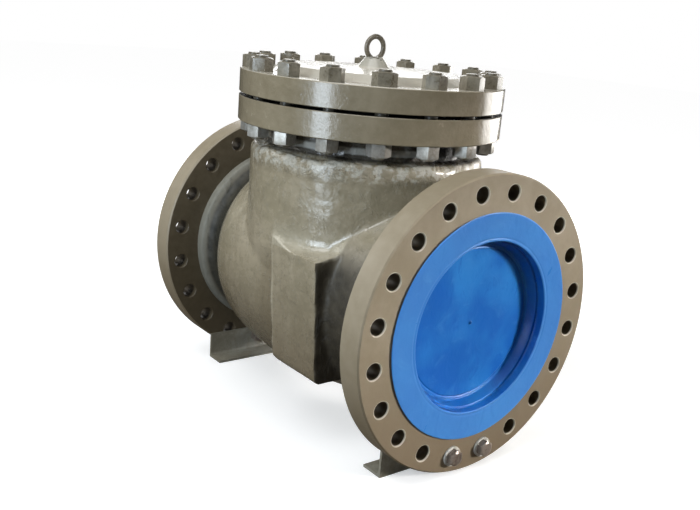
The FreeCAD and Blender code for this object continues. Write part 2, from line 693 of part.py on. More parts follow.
def pin_cotters():
    pins = []
    for y in (-pin_cotter_y(), pin_cotter_y()):
        pin = split_pin(PIN_RADIUS + 3 * COTTER_RADIUS)
        pin.rotate(ORIGIN, Y_AXIS, 90)
        pin.rotate(ORIGIN, X_AXIS, -90)
        pin.translate(FreeCAD.Vector(PIN_X, y, PIN_HEIGHT))
        pins.append(pin)
    return group(pins)


def stop_bar():
    """The bar between the ears whose slanted face meets the arm's heel when the disc is open."""
    angle = math.radians(OPEN_ANGLE)
    along = (math.sin(angle), math.cos(angle))
    across = (math.cos(angle), -math.sin(angle))
    offset = ARM_HEEL_HALF_THICKNESS + STOP_GAP
    near = ARM_BOSS_RADIUS + EAR_GAP
    start = [
        centre + offset * sideways + near * forward
        for centre, sideways, forward in zip((PIN_X, PIN_HEIGHT), across, along)
    ]
    reach = ARM_HEEL_LENGTH - near
    top = (start[0] + reach * along[0], start[1] + reach * along[1])
    foot = max(top[0], BRACKET_FRONT_X) + BRACKET_PLATE_THICKNESS
    lines = Outline(*start).line(*top).line(foot, BRACKET_TOP - 1)
    lines.line(BRACKET_FRONT_X, BRACKET_TOP - 1)
    return lines.prism(EAR_INNER_Y + 1)


def hinge_bracket():
    """The bracket on the ledge, with two ears for the pin."""
    width = BRACKET_HALF_WIDTH
    plate = block(
        (BRACKET_FRONT_X, -width, LEDGE_HEIGHT), (BRACKET_BACK_X, width, BRACKET_TOP)
    )
    ears = []
    for y in (-EAR_OUTER_Y, EAR_INNER_Y):
        eye = rod((PIN_X, y, PIN_HEIGHT), (PIN_X, y + EAR_THICKNESS, PIN_HEIGHT), EAR_RADIUS)
        arm = Outline(PIN_X, PIN_HEIGHT - EAR_RADIUS).line(BRACKET_FRONT_X + 1, LEDGE_HEIGHT + 1)
        arm.line(BRACKET_FRONT_X + EAR_THICKNESS, BRACKET_TOP).line(PIN_X, PIN_HEIGHT + EAR_RADIUS)
        face = arm.face()
        face.translate(FreeCAD.Vector(0, y, 0))
        ears += [eye, face.extrude(FreeCAD.Vector(0, EAR_THICKNESS, 0))]
    pin_hole = rod(
        (PIN_X, -EAR_OUTER_Y - 1, PIN_HEIGHT), (PIN_X, EAR_OUTER_Y + 1, PIN_HEIGHT), PIN_RADIUS
    )
    bolt_holes = [
        rod((x, y, LEDGE_HEIGHT - 1), (x, y, BRACKET_TOP + 1), BRACKET_BOLT_RADIUS)
        for x, y in bracket_bolt_places()
    ]
    return fused(plate, stop_bar(), *ears).cut([pin_hole] + bolt_holes)


def bracket_bolts():
    bolts = []
    for x, y in bracket_bolt_places():
        shank = rod((x, y, LEDGE_HEIGHT - BRACKET_BOLT_DEPTH), (x, y, BRACKET_TOP), BRACKET_BOLT_RADIUS)
        head = placed(hexagon_head(BRACKET_BOLT_AF, BRACKET_BOLT_HEAD), (x, y, BRACKET_TOP), Z_AXIS)
        bolts.append(fused(shank, head))
    return group(bolts)


# Cover, gasket and studs


def bonnet_gasket():
    ring = rod((0, 0, BODY_FLANGE_TOP), (0, 0, COVER_BOTTOM), OPENING_RADIUS + GASKET_WIDTH)
    return ring.cut(rod((0, 0, BODY_FLANGE_TOP - 1), (0, 0, COVER_BOTTOM + 1), OPENING_RADIUS))


def bonnet_cover():
    """The cover: a flange ring, a low crown, the weld mound and a spigot that finds the opening."""
    edge = COVER_RADIUS - BODY_FLANGE_CHAMFER
    spigot = OPENING_RADIUS - SPIGOT_CLEARANCE
    lines = Outline(0, COVER_BOTTOM - SPIGOT_DEPTH).line(spigot, COVER_BOTTOM - SPIGOT_DEPTH)
    lines.line(spigot, COVER_BOTTOM).line(edge, COVER_BOTTOM)
    lines.line(COVER_RADIUS, COVER_BOTTOM + BODY_FLANGE_CHAMFER)
    lines.line(COVER_RADIUS, COVER_TOP - BODY_FLANGE_CHAMFER).line(edge, COVER_TOP)
    lines.line(CROWN_RADIUS, COVER_TOP).line(CROWN_TOP_RADIUS, COVER_TOP + CROWN_HEIGHT)
    lines.line(MOUND_RADIUS, CROWN_TOP).line(MOUND_TOP_RADIUS, CROWN_TOP + MOUND_HEIGHT)
    lines.line(0, CROWN_TOP + MOUND_HEIGHT)
    holes = [
        rod((x, y, COVER_BOTTOM - 1), (x, y, COVER_TOP + 1), STUD_RADIUS + STUD_HOLE_CLEARANCE)
        for x, y in ring_places(STUDS, STUD_PITCH_RADIUS)
    ]
    return lines.turned_about_z().cut(holes + [lifting_ring()])


def lifting_ring():
    """The bent bar of the lifting ring, which stands a little turned from the plane x = 0."""
    centre = CROWN_TOP + MOUND_HEIGHT + RING_OUTER_RADIUS - RING_SUNK
    turn = math.radians(RING_TURN)
    across = FreeCAD.Vector(math.cos(turn), math.sin(turn), 0)
    return Part.makeTorus(
        RING_OUTER_RADIUS - RING_BAR_RADIUS, RING_BAR_RADIUS, FreeCAD.Vector(0, 0, centre), across
    )


def bonnet_studs():
    bottom = BODY_FLANGE_BOTTOM - NUT_HEIGHT - STUD_PROUD
    top = COVER_TOP + NUT_HEIGHT + STUD_PROUD
    end_radius = STUD_RADIUS - STUD_END_CHAMFER
    lines = Outline(0, bottom).line(end_radius, bottom).line(STUD_RADIUS, bottom + STUD_END_CHAMFER)
    lines.line(STUD_RADIUS, top - STUD_END_CHAMFER).line(end_radius, top).line(0, top)
    stud = lines.turned_about_z()
    return group([placed(stud, (x, y, 0), Z_AXIS) for x, y in ring_places(STUDS, STUD_PITCH_RADIUS)])


def bonnet_nuts(height, outward, turns):
    """A ring of nuts on the studs, each as far round as it was tightened."""
    nuts = []
    for place, turn in zip(ring_places(STUDS, STUD_PITCH_RADIUS), turns * (STUDS // len(turns) + 1)):
        nut = placed(hexagon_nut(NUT_ACROSS_FLATS, NUT_HEIGHT, STUD_RADIUS), (0, 0, height), outward)
        nut.rotate(ORIGIN, Z_AXIS, turn + HEXAGON_FLAT_TURN)
        nut.translate(FreeCAD.Vector(*place, 0))
        nuts.append(nut)
    return group(nuts)


# End caps and feet


def end_cap():
    """The plastic cover of the inlet: a flat rim on the raised face and a stepped cup in the bore."""
    face = HALF_LENGTH
    front = face + CAP_RIM_THICKNESS
    plug = BORE_RADIUS - CAP_FIT
    step = front - CAP_STEP_DEPTH
    floor = front - CAP_DEPTH
    step_radius = CAP_MOUTH_RADIUS - CAP_STEP_WIDTH
    back = floor - CAP_WALL
    edge = CAP_RIM_THICKNESS / 2
    lines = Outline(back, 0).line(back, CAP_FLOOR_RADIUS + CAP_WALL)
    lines.line(step, step_radius + 2 * CAP_WALL).line(face, plug).line(face, CAP_RADIUS - edge)
    lines.arc((face + edge, CAP_RADIUS), (front, CAP_RADIUS - edge))
    lines.line(front, CAP_MOUTH_RADIUS + CAP_LIP_ROUND)
    lines.arc(
        rounded_corner((front, CAP_MOUTH_RADIUS), CAP_LIP_ROUND, (-1, 1)),
        (front - CAP_LIP_ROUND, CAP_MOUTH_RADIUS),
    )
    lines.line(step, CAP_MOUTH_RADIUS)
    lines.line(step, step_radius).line(floor, CAP_FLOOR_RADIUS)
    lines.line(floor, CAP_NUB_RADIUS).line(floor + CAP_NUB_RADIUS, 0)
    return lines.turned_about_x()


def inlet_foot():
    """An angle iron bolted to the back of the flange, its lower leg pointing under the barrel."""
    leg_x = FLANGE_BACK_X
    toe_x = FLANGE_BACK_X - FOOT_WIDTH
    low = -AXIS_HEIGHT
    inner_x = leg_x - FOOT_THICKNESS
    inner_z = low + FOOT_THICKNESS
    lines = Outline(leg_x, low).line(leg_x, low + FOOT_HEIGHT).line(inner_x, low + FOOT_HEIGHT)
    lines.line(inner_x, inner_z + FOOT_ROOT_ROUND)
    lines.arc(
        rounded_corner((inner_x, inner_z), FOOT_ROOT_ROUND, (-1, 1)),
        (inner_x - FOOT_ROOT_ROUND, inner_z),
    )
    lines.line(toe_x, inner_z).line(toe_x, low)
    radius = FOOT_BOLT_RADIUS + FOOT_HOLE_CLEARANCE
    holes = [
        rod((inner_x - 1, y, FOOT_BOLT_Z), (leg_x + 1, y, FOOT_BOLT_Z), radius)
        for y in (-FOOT_BOLT_Y, FOOT_BOLT_Y)
    ]
    return lines.prism(FOOT_LENGTH / 2).cut(holes)


def at_foot_bolts(make):
    """The same shape at both foot bolts of the inlet flange."""
    return group([make(y) for y in (-FOOT_BOLT_Y, FOOT_BOLT_Y)])


def foot_bolt(y):
    head_x = FLANGE_FRONT_X + FOOT_WASHER_THICKNESS
    end_x = FLANGE_BACK_X - FOOT_THICKNESS - FOOT_NUT_HEIGHT - FOOT_BOLT_PROUD
    shank = rod((end_x, y, FOOT_BOLT_Z), (head_x, y, FOOT_BOLT_Z), FOOT_BOLT_RADIUS)
    head = placed(hexagon_head(FOOT_BOLT_AF, FOOT_BOLT_HEAD), (head_x, y, FOOT_BOLT_Z), X_AXIS)
    return fused(shank, head)


def foot_washer(y):
    start = (FLANGE_FRONT_X, y, FOOT_BOLT_Z)
    end = (FLANGE_FRONT_X + FOOT_WASHER_THICKNESS, y, FOOT_BOLT_Z)
    return rod(start, end, FOOT_WASHER_RADIUS).cut(rod(start, end, FOOT_BOLT_RADIUS + THREAD_CLEARANCE))


def foot_nut(y):
    nut = hexagon_nut(FOOT_BOLT_AF, FOOT_NUT_HEIGHT, FOOT_BOLT_RADIUS)
    return placed(nut, (FLANGE_BACK_X - FOOT_THICKNESS, y, FOOT_BOLT_Z), -X_AXIS)


def end_pieces():
    """The pieces that both pipe ends have, as drawn at the inlet."""
    return {
        "cap": end_cap(),
        "foot": inlet_foot(),
        "foot_bolts": at_foot_bolts(foot_bolt),
        "foot_washers": at_foot_bolts(foot_washer),
        "foot_nuts": at_foot_bolts(foot_nut),
    }


def pieces():
    made = {
        "valve_body": valve_body(),
        "seat_ring": seat_ring(),
        "disc": disc(),
        "disc_washer": disc_washer(),
        "disc_nut": disc_nut(),
        "disc_cotter": disc_cotter(),
        "hinge_arm": hinge_arm(),
        "hinge_bushes": hinge_bushes(),
        "hinge_pin": hinge_pin(),
        "pin_cotters": pin_cotters(),
        "hinge_bracket": hinge_bracket(),
        "bracket_bolts": bracket_bolts(),
        "bonnet_gasket": bonnet_gasket(),
        "bonnet_cover": bonnet_cover(),
        "bonnet_studs": bonnet_studs(),
        "bonnet_nuts_upper": bonnet_nuts(COVER_TOP, Z_AXIS, UPPER_NUT_TURNS),
        "bonnet_nuts_lower": bonnet_nuts(BODY_FLANGE_BOTTOM, -Z_AXIS, LOWER_NUT_TURNS),
        "lifting_ring": lifting_ring(),
    }
    for name, shape in end_pieces().items():
        made["inlet_" + name] = shape
        made["outlet_" + name] = mirrored_end(shape)
    return made


def main():
    os.makedirs("parts", exist_ok=True)
    for name, shape in pieces().items():
        standing = shape.copy()
        standing.translate(FreeCAD.Vector(0, 0, AXIS_HEIGHT))
        standing.exportStep(os.path.join("parts", name + ".step"))


main()
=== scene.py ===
"""Looks of a large flanged swing non-return valve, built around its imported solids.

The pipe axis runs along X with the inlet at +X, the cover faces +Z, and lengths are in metres.
"""

from __future__ import annotations

import logging
import math
from dataclasses import dataclass, field, replace
from enum import Enum
from typing import Iterable, Optional, Union

import bmesh
import bpy
import numpy as np
from mathutils import Matrix, Vector, noise

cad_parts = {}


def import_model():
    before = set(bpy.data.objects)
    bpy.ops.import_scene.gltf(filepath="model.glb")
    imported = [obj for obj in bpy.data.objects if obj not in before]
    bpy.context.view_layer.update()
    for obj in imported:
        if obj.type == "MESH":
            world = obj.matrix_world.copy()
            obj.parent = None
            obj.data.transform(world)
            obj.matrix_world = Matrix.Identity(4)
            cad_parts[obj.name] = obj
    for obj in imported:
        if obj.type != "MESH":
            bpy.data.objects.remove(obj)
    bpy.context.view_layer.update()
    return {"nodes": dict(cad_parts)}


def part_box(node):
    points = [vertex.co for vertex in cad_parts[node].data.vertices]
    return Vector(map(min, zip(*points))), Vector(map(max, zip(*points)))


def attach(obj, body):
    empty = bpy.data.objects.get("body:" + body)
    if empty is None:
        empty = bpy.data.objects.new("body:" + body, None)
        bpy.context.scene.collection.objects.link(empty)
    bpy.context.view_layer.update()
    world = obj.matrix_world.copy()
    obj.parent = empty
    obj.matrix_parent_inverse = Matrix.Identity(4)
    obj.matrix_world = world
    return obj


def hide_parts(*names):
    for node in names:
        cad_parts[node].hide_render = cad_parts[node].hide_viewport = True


LOG = logging.getLogger("valve")

Colour = tuple[float, float, float]
Number = Union[float, "Signal"]
Point = tuple[float, float, float]
Span = tuple[float, float]
Outline = list[tuple[float, float]]
Form = bmesh.types.BMesh
Mesh = bpy.types.Mesh
Solid = bpy.types.Object
Material = bpy.types.Material

ROOT_BODY = "body"
WELD_DISTANCE = 1e-5
CUT_DISTANCE = 1e-6
ON_PLANE = 1e-4

PIPE_AXIS = (0.0, 0.0, 0.326)
HOLE_CIRCLE_RADIUS = 0.28575
HOLE_COUNT = 20


def paint(red: int, green: int, blue: int) -> Colour:
    """A colour given as it looks on a screen, as linear light.

    Args:
        red: Red from 0 to 255.
        green: Green from 0 to 255.
        blue: Blue from 0 to 255.

    Returns:
        The linear colour.
    """
    return tuple(
        value / 255 / 12.92 if value <= 10 else ((value / 255 + 0.055) / 1.055) ** 2.4
        for value in (red, green, blue)
    )


def shades(*screen: tuple[int, int, int]) -> tuple[Colour, ...]:
    """Return several colours given as they look on a screen, as linear light."""
    return tuple(paint(*colour) for colour in screen)


# Shader sheets


class Signal:
    """A shader output that can be written in a sum, a product or a power."""

    def __init__(self, sheet: "Sheet", socket: bpy.types.NodeSocket) -> None:
        """Wrap a node's output on its sheet."""
        self.sheet = sheet
        self.socket = socket

    def __add__(self, other: Number) -> "Signal":
        """Return this plus the other."""
        return self.sheet.maths("ADD", self, other)

    def __radd__(self, other: Number) -> "Signal":
        """Return the other plus this."""
        return self.sheet.maths("ADD", other, self)

    def __sub__(self, other: Number) -> "Signal":
        """Return this minus the other."""
        return self.sheet.maths("SUBTRACT", self, other)

    def __rsub__(self, other: Number) -> "Signal":
        """Return the other minus this."""
        return self.sheet.maths("SUBTRACT", other, self)

    def __mul__(self, other: Number) -> "Signal":
        """Return this times the other."""
        return self.sheet.maths("MULTIPLY", self, other)

    def __rmul__(self, other: Number) -> "Signal":
        """Return the other times this."""
        return self.sheet.maths("MULTIPLY", other, self)

    def __pow__(self, other: Number) -> "Signal":
        """Return this to the power of the other."""
        return self.sheet.maths("POWER", self, other)

    def clamped(self) -> "Signal":
        """Return this kept between 0 and 1."""
        return self.sheet.node("ShaderNodeClamp", {}, {0: self, 1: 0.0, 2: 1.0})


class Sheet:
    """The node sheet of one finish, or of the sky."""

    def __init__(self, name: str, of_sky: bool = False) -> None:
        """Start an empty sheet with its output node.

        Args:
            name: The name of the material or the sky.
            of_sky: Whether the sheet belongs to the sky.
        """
        kind, holders = ("World", bpy.data.worlds) if of_sky else ("Material", bpy.data.materials)
        self.owner = holders.new(name)
        self.owner.use_nodes = True
        self.tree = self.owner.node_tree
        self.tree.nodes.clear()
        self.output = self.tree.nodes.new(f"ShaderNodeOutput{kind}")

    def node(
        self,
        kind: str,
        settings: Optional[dict] = None,
        sockets: Optional[dict] = None,
        output: Union[int, str] = 0,
    ) -> Signal:
        """Add a node.

        Args:
            kind: The node's type.
            settings: Its own settings, set before its sockets.
            sockets: Values or signals for its inputs, by place or name.
            output: Which output to return.

        Returns:
            The chosen output.
        """
        made = self.tree.nodes.new(kind)
        for name, value in (settings or {}).items():
            setattr(made, name, value)
        for key, value in (sockets or {}).items():
            if isinstance(value, Signal):
                self.tree.links.new(value.socket, made.inputs[key])
            else:
                made.inputs[key].default_value = value
        return Signal(self, made.outputs[output])

    def maths(self, operation: str, *values: Number) -> Signal:
        """Return the result of one operation on numbers and signals."""
        return self.node("ShaderNodeMath", {"operation": operation}, dict(enumerate(values)))

    def place(self, stretch: Point = (1.0, 1.0, 1.0), shift: Point = (0.0, 0.0, 0.0)) -> Signal:
        """Return the object's own coordinates.

        Args:
            stretch: Scale along each axis.
            shift: Move along each axis, after the scale.

        Returns:
            The coordinates as a vector.
        """
        here = self.node("ShaderNodeTexCoord", output="Object")
        return self.node(
            "ShaderNodeMapping", {}, {"Vector": here, "Scale": stretch, "Location": shift}
        )

    def grain(
        self,
        scale: float,
        detail: float = 2.0,
        roughness: float = 0.5,
        distortion: float = 0.0,
        stretch: Point = (1.0, 1.0, 1.0),
    ) -> Signal:
        """Return soft noise between 0 and 1.

        Args:
            scale: Waves for each metre.
            detail: Octaves of finer noise.
            roughness: Strength of the finer noise.
            distortion: How far the noise is pulled about.
            stretch: Scale of the pattern along each axis.

        Returns:
            The noise.
        """
        return self.node(
            "ShaderNodeTexNoise",
            {},
            {
                "Vector": self.place(stretch),
                "Scale": scale,
                "Detail": detail,
                "Roughness": roughness,
                "Distortion": distortion,
            },
        )

    def band(self, value: Number, low: float, high: float) -> Signal:
        """Return a smooth rise from 0 to 1.

        Args:
            value: What is compared.
            low: Where the rise starts.
            high: Where it has reached 1.

        Returns:
            The share.
        """
        return self.node(
            "ShaderNodeMapRange",
            {"interpolation_type": "SMOOTHSTEP"},
            {"Value": value, "From Min": low, "From Max": high},
        )

    def blend(
        self, share: Number, first: Union[Colour, Signal], second: Union[Colour, Signal]
    ) -> Signal:
        """Return a colour between two.

        Args:
            share: 0 for the first colour, 1 for the second.
            first: The first colour.
            second: The second colour.

        Returns:
            The colour.
        """
        ends = [end if isinstance(end, Signal) else (*end, 1.0) for end in (first, second)]
        return self.node(
            "ShaderNodeMix", {"data_type": "RGBA"}, {0: share, 6: ends[0], 7: ends[1]}, output=2
        )

    def relief(self, height: Signal, depth: float, under: Optional[Signal] = None) -> Signal:
        """Return the normal of a relief.

        Args:
            height: The relief's height, from 0 to 1.
            depth: How deep it is in metres.
            under: The normal of a relief that it lies on.

        Returns:
            The normal.
        """
        sockets = {"Height": height, "Distance": depth, "Strength": 1.0}
        if under is not None:
            sockets["Normal"] = under
        return self.node("ShaderNodeBump", {}, sockets)

    def along(self, axis: str) -> Signal:
        """Return how far each point lies along X, Y or Z, in metres."""
        return self.node("ShaderNodeSeparateXYZ", {}, {0: self.place()}, output=axis)

    def radius(self, axis: str, centre: Point) -> Signal:
        """Return the distance from a line along one axis through a point.

        Args:
            axis: The line's axis, X or Z.
            centre: A point on the line.

        Returns:
            The distance in metres.
        """
        flat = {"X": (0.0, 1.0, 1.0), "Z": (1.0, 1.0, 0.0)}[axis]
        shift = tuple(-c * f for c, f in zip(centre, flat))
        return self.node(
            "ShaderNodeVectorMath",
            {"operation": "LENGTH"},
            {0: self.place(flat, shift)},
            output="Value",
        )

    def from_hole(self, axis: Point, circle: float, count: int) -> Signal:
        """Return the distance from the middle of the nearest of some holes on a circle.

        Args:
            axis: A point on the circle's axis, which runs along X.
            circle: The circle's radius.
            count: How many holes share it evenly, two of them beside its highest point.

        Returns:
            The distance in metres.
        """
        pitch = 2 * math.pi / count
        turn = self.maths("ARCTAN2", self.along("Y"), self.along("Z") - axis[2])
        aside = (self.maths("WRAP", turn, pitch, 0.0) - pitch / 2) * circle
        out = self.radius("X", axis) - circle
        return (out * out + aside * aside) ** 0.5

    def seen_and_felt(self, seen: Signal, felt: Signal) -> Signal:
        """Return a shader with two sides.

        Args:
            seen: What the camera sees.
            felt: What lights the scene.

        Returns:
            The shader.
        """
        looked_at = self.node("ShaderNodeLightPath", output="Is Camera Ray")
        return self.node("ShaderNodeMixShader", {}, {0: looked_at, 1: felt, 2: seen})

    def end(self, surface: Signal) -> Union[Material, bpy.types.World]:
        """Join a shader to the output, and return the material or the sky."""
        self.tree.links.new(surface.socket, self.output.inputs["Surface"])
        return self.owner

    def finish(self, sockets: dict) -> Material:
        """End the sheet with a surface shader that has these inputs, and return the material."""
        return self.end(self.node("ShaderNodeBsdfPrincipled", {}, sockets))


# Where a finish changes, and where light and shade are painted on it


class Measure(Enum):
    """What the place of a second colour is measured by."""

    ALONG_PIPE = "along the pipe towards the inlet"
    FROM_MIDDLE = "along the pipe from its middle, either way"
    FROM_AXIS = "out from the pipe's axis"
    FROM_HOLE = "out from the middle of the nearest pipe bolt hole"
    HEIGHT = "up from the floor"
    ACROSS = "across the pipe, away from the camera's side"

    def signal(self, sheet: Sheet) -> Signal:
        """Return the measure at each point.

        Args:
            sheet: The finish's sheet.

        Returns:
            The measure in metres.
        """
        if self is Measure.FROM_MIDDLE:
            return sheet.maths("ABSOLUTE", sheet.along("X"))
        if self is Measure.FROM_AXIS:
            return sheet.radius("X", PIPE_AXIS)
        if self is Measure.FROM_HOLE:
            return sheet.from_hole(PIPE_AXIS, HOLE_CIRCLE_RADIUS, HOLE_COUNT)
        straight = {Measure.ALONG_PIPE: "X", Measure.ACROSS: "Y", Measure.HEIGHT: "Z"}
        return sheet.along(straight[self])


@dataclass(frozen=True)
class Stretch:
    """A stretch of a measure that fades in from one value to another."""

    measure: Measure
    fades_from: float
    full_at: float

    def share(self, sheet: Sheet) -> Signal:
        """Return 0 outside the stretch and 1 inside it."""
        return sheet.band(self.measure.signal(sheet), self.fades_from, self.full_at)


def along_pipe(fades_from: float, full_at: float) -> Stretch:
    """Return a stretch of the pipe."""
    return Stretch(Measure.ALONG_PIPE, fades_from, full_at)


def from_middle(fades_from: float, full_at: float) -> Stretch:
    """Return a stretch of the pipe that is alike on both sides of its middle."""
    return Stretch(Measure.FROM_MIDDLE, fades_from, full_at)


def across(fades_from: float, full_at: float) -> Stretch:
    """Return a stretch of the way across the pipe."""
    return Stretch(Measure.ACROSS, fades_from, full_at)


def height(fades_from: float, full_at: float) -> Stretch:
    """Return a stretch of the height above the floor."""
    return Stretch(Measure.HEIGHT, fades_from, full_at)


def where_all_meet(sheet: Sheet, stretches: tuple[Stretch, ...], share: Number = 1.0) -> Number:
    """Return a share that fades out where any of the stretches ends.

    Args:
        sheet: The finish's sheet.
        stretches: The stretches.
        share: The share where all of them meet.

    Returns:
        The share.
    """
    for stretch in stretches:
        share = share * stretch.share(sheet)
    return share


@dataclass(frozen=True)
class PaintedShading:
    """A painted light or shade: a second colour laid over the paint where all of its stretches
    meet.
    """

    colour: Colour
    strength: float
    stretches: tuple[Stretch, ...]
    patchy: bool = False

    def over(self, sheet: Sheet, under: Signal, breakup: Signal) -> Signal:
        """Return the colour under it with this one laid over.

        Args:
            sheet: The finish's sheet.
            under: The colour below.
            breakup: Noise that makes the edge uneven, or the whole tint patchy.

        Returns:
            The new colour.
        """
        uneven = sheet.band(breakup, 0.44, 0.6) if self.patchy else 0.8 + 0.4 * breakup
        share = where_all_meet(sheet, self.stretches, self.strength * uneven)
        return sheet.blend(share.clamped(), under, self.colour)


# Finishes


@dataclass(frozen=True)
class Enamel:
    """Enamel or plating over metal, from rough-cast to nearly smooth.

    Its shades are a middle, a dark and a pale one.
    """

    name: str
    shades: tuple[Colour, ...]
    roughness: float = 0.34
    roughness_spread: float = 0.16
    coat: float = 0.35
    coat_roughness: float = 0.12
    metallic: float = 0.0
    mottle_scale: float = 5.0
    dent_scale: float = 26.0
    dent_depth: float = 0.003
    pebble_scale: float = 120.0
    pebble_depth: float = 0.0009
    peel_scale: float = 420.0
    peel_depth: float = 0.00025
    scar_scale: float = 34.0
    scar_depth: float = 0.0
    crust_scale: float = 105.0
    crust_depth: float = 0.006
    crust: tuple[Stretch, ...] = ()
    # painted light and shade laid over the paint
    painted_shading: tuple[PaintedShading, ...] = ()
    dull: tuple[tuple[Stretch, ...], ...] = ()
    dull_roughness: float = 0.3

    def _relief(self, sheet: Sheet) -> Signal:
        """Return the normal of dents, pebbles and peel, and of scars and a crust if there are any.

        Args:
            sheet: The finish's sheet.

        Returns:
            The normal.
        """
        dents = sheet.grain(self.dent_scale, detail=2.0, roughness=0.55, distortion=0.4)
        pebbles = sheet.grain(self.pebble_scale, detail=3.0, roughness=0.6)
        relief = sheet.relief(pebbles, self.pebble_depth, sheet.relief(dents, self.dent_depth))
        if self.scar_depth:
            scars = sheet.grain(
                self.scar_scale, detail=5.0, roughness=0.75, distortion=1.6, stretch=(1.0, 1.0, 0.6)
            )
            relief = sheet.relief(sheet.band(scars, 0.52, 0.7), self.scar_depth, relief)
        if self.crust:
            rough = sheet.grain(self.crust_scale, detail=4.0, roughness=0.6, distortion=0.8)
            rough = where_all_meet(sheet, self.crust, rough)
            relief = sheet.relief(rough, self.crust_depth, relief)
        return sheet.relief(sheet.grain(self.peel_scale, detail=2.0), self.peel_depth, relief)

    def _colour(self, sheet: Sheet, broad: Signal, fine: Signal) -> Signal:
        """Return the mottled colour with its painted light and shade.

        Args:
            sheet: The finish's sheet.
            broad: Wide patches.
            fine: Small patches.

        Returns:
            The colour.
        """
        middle, dark, pale = self.shades
        drag = sheet.grain(self.mottle_scale * 3, detail=3.0, stretch=(1.0, 1.0, 0.22))
        worn = sheet.band(broad * 0.62 + fine * 0.38, 0.36, 0.66)
        colour = sheet.blend(worn, dark, middle)
        colour = sheet.blend(sheet.band(drag, 0.5, 0.85) * 0.55, colour, pale)
        for tint in self.painted_shading:
            colour = tint.over(sheet, colour, fine)
        return colour

    def material(self) -> Material:
        """Return the material: mottled colour with painted light and shade, uneven gloss and
        several sizes of relief.

        Returns:
            The material.
        """
        sheet = Sheet(self.name)
        broad = sheet.grain(self.mottle_scale, detail=4.0, roughness=0.6)
        fine = sheet.grain(self.mottle_scale * 9, detail=3.0, roughness=0.6)
        spread = self.roughness_spread
        gloss = self.roughness + (fine - 0.5) * spread + (broad - 0.5) * spread
        coat: Number = self.coat
        for stretches in self.dull:
            share = where_all_meet(sheet, stretches)
            gloss = gloss + share * self.dull_roughness
            coat = coat * (1.0 - share)
        return sheet.finish(
            {
                "Base Color": self._colour(sheet, broad, fine),
                "Roughness": gloss.clamped(),
                "Normal": self._relief(sheet),
                "Coat Weight": coat,
                "Coat Roughness": self.coat_roughness,
                "Metallic": self.metallic,
                "Specular IOR Level": 0.5,
            }
        )


@dataclass(frozen=True)
class BareMetal:
    """Machined metal with fine turning marks about an axis along the pipe."""

    name: str
    colour: Colour
    dark: Colour
    roughness: float
    ring_centre: Point = (0.0, 0.0, 0.0)
    ring_pitch: float = 0.0012
    ring_depth: float = 0.00005
    patch_depth: float = 0.0002
    spot_scale: float = 60.0

    def material(self) -> Material:
        """Return the material: turning rings, patches and small stains.

        Returns:
            The material.
        """
        sheet = Sheet(self.name)
        patches = sheet.grain(self.spot_scale, detail=4.0, roughness=0.6)
        stains = sheet.band(sheet.grain(self.spot_scale * 0.3, detail=3.0), 0.45, 0.72)
        rings = sheet.radius("X", self.ring_centre) * (2 * math.pi / self.ring_pitch)
        relief = sheet.relief(sheet.maths("SINE", rings), self.ring_depth)
        stained = (patches * 0.5 + stains * 0.5).clamped()
        return sheet.finish(
            {
                "Base Color": sheet.blend(stained, self.colour, self.dark),
                "Metallic": 1.0,
                "Roughness": (self.roughness + (patches - 0.5) * 0.25).clamped(),
                "Normal": sheet.relief(patches, self.patch_depth, relief),
            }
        )


@dataclass(frozen=True)
class MouldedPlastic:
    """Satin moulded plastic with scuffs, smudges and pale dust, paler on its flat rim, with painted
    shade on the upper part of its cup's wall.
    """

    name: str
    colour: Colour
    deep: Colour
    dust: Colour
    face: Colour
    # the painted shade on the upper part of the cup's wall
    wall: Colour
    face_at: Stretch = from_middle(0.4325, 0.4335)
    wall_at: Stretch = from_middle(0.3958, 0.3975)
    wall_shaded: Stretch = height(0.17, 0.29)
    cloud_depth: float = 0.0012
    scuff_depth: float = 0.00012

    def _colour(self, sheet: Sheet, cloud: Signal, scuffs: Signal) -> Signal:
        """Return the colour of the rim, the cup's wall with its painted shade, and its floor, with
        strokes and dust.

        Args:
            sheet: The finish's sheet.
            cloud: Soft smudges.
            scuffs: Fine scuffs.

        Returns:
            The colour.
        """
        broad = sheet.grain(6.0, detail=3.0, roughness=0.55)
        strokes = sheet.grain(
            15.0, detail=5.0, roughness=0.65, distortion=1.2, stretch=(1.0, 1.5, 0.7)
        )
        rim = self.face_at.share(sheet)
        # painted shade on the upper part of the cup's wall
        wall = self.wall_at.share(sheet) * (1.0 - rim) * self.wall_shaded.share(sheet)
        colour = sheet.blend(sheet.band(broad, 0.35, 0.7), self.deep, self.colour)
        colour = sheet.blend(rim * 0.6, colour, self.face)
        colour = sheet.blend(wall * 0.5, colour, self.wall)
        stroked = sheet.band(strokes, 0.53, 0.68) * (0.8 - 0.65 * rim)
        colour = sheet.blend(stroked, colour, self.deep)
        colour = sheet.blend(sheet.band(cloud, 0.55, 0.8) * 0.25, colour, self.dust)
        return sheet.blend(sheet.band(scuffs, 0.62, 0.74) * 0.18, colour, self.dust)

    def material(self) -> Material:
        """Return the material.

        Returns:
            The material.
        """
        sheet = Sheet(self.name)
        cloud = sheet.grain(20.0, detail=4.0, roughness=0.6, distortion=0.6)
        scuffs = sheet.grain(55.0, detail=5.0, roughness=0.7, stretch=(1.0, 0.35, 1.6))
        gloss = 0.34 + (cloud - 0.5) * 0.3 + sheet.band(scuffs, 0.6, 0.75) * 0.2
        relief = sheet.relief(cloud, self.cloud_depth)
        return sheet.finish(
            {
                "Base Color": self._colour(sheet, cloud, scuffs),
                "Roughness": gloss.clamped(),
                "Normal": sheet.relief(scuffs, self.scuff_depth, relief),
                "Specular IOR Level": 0.25,
            }
        )


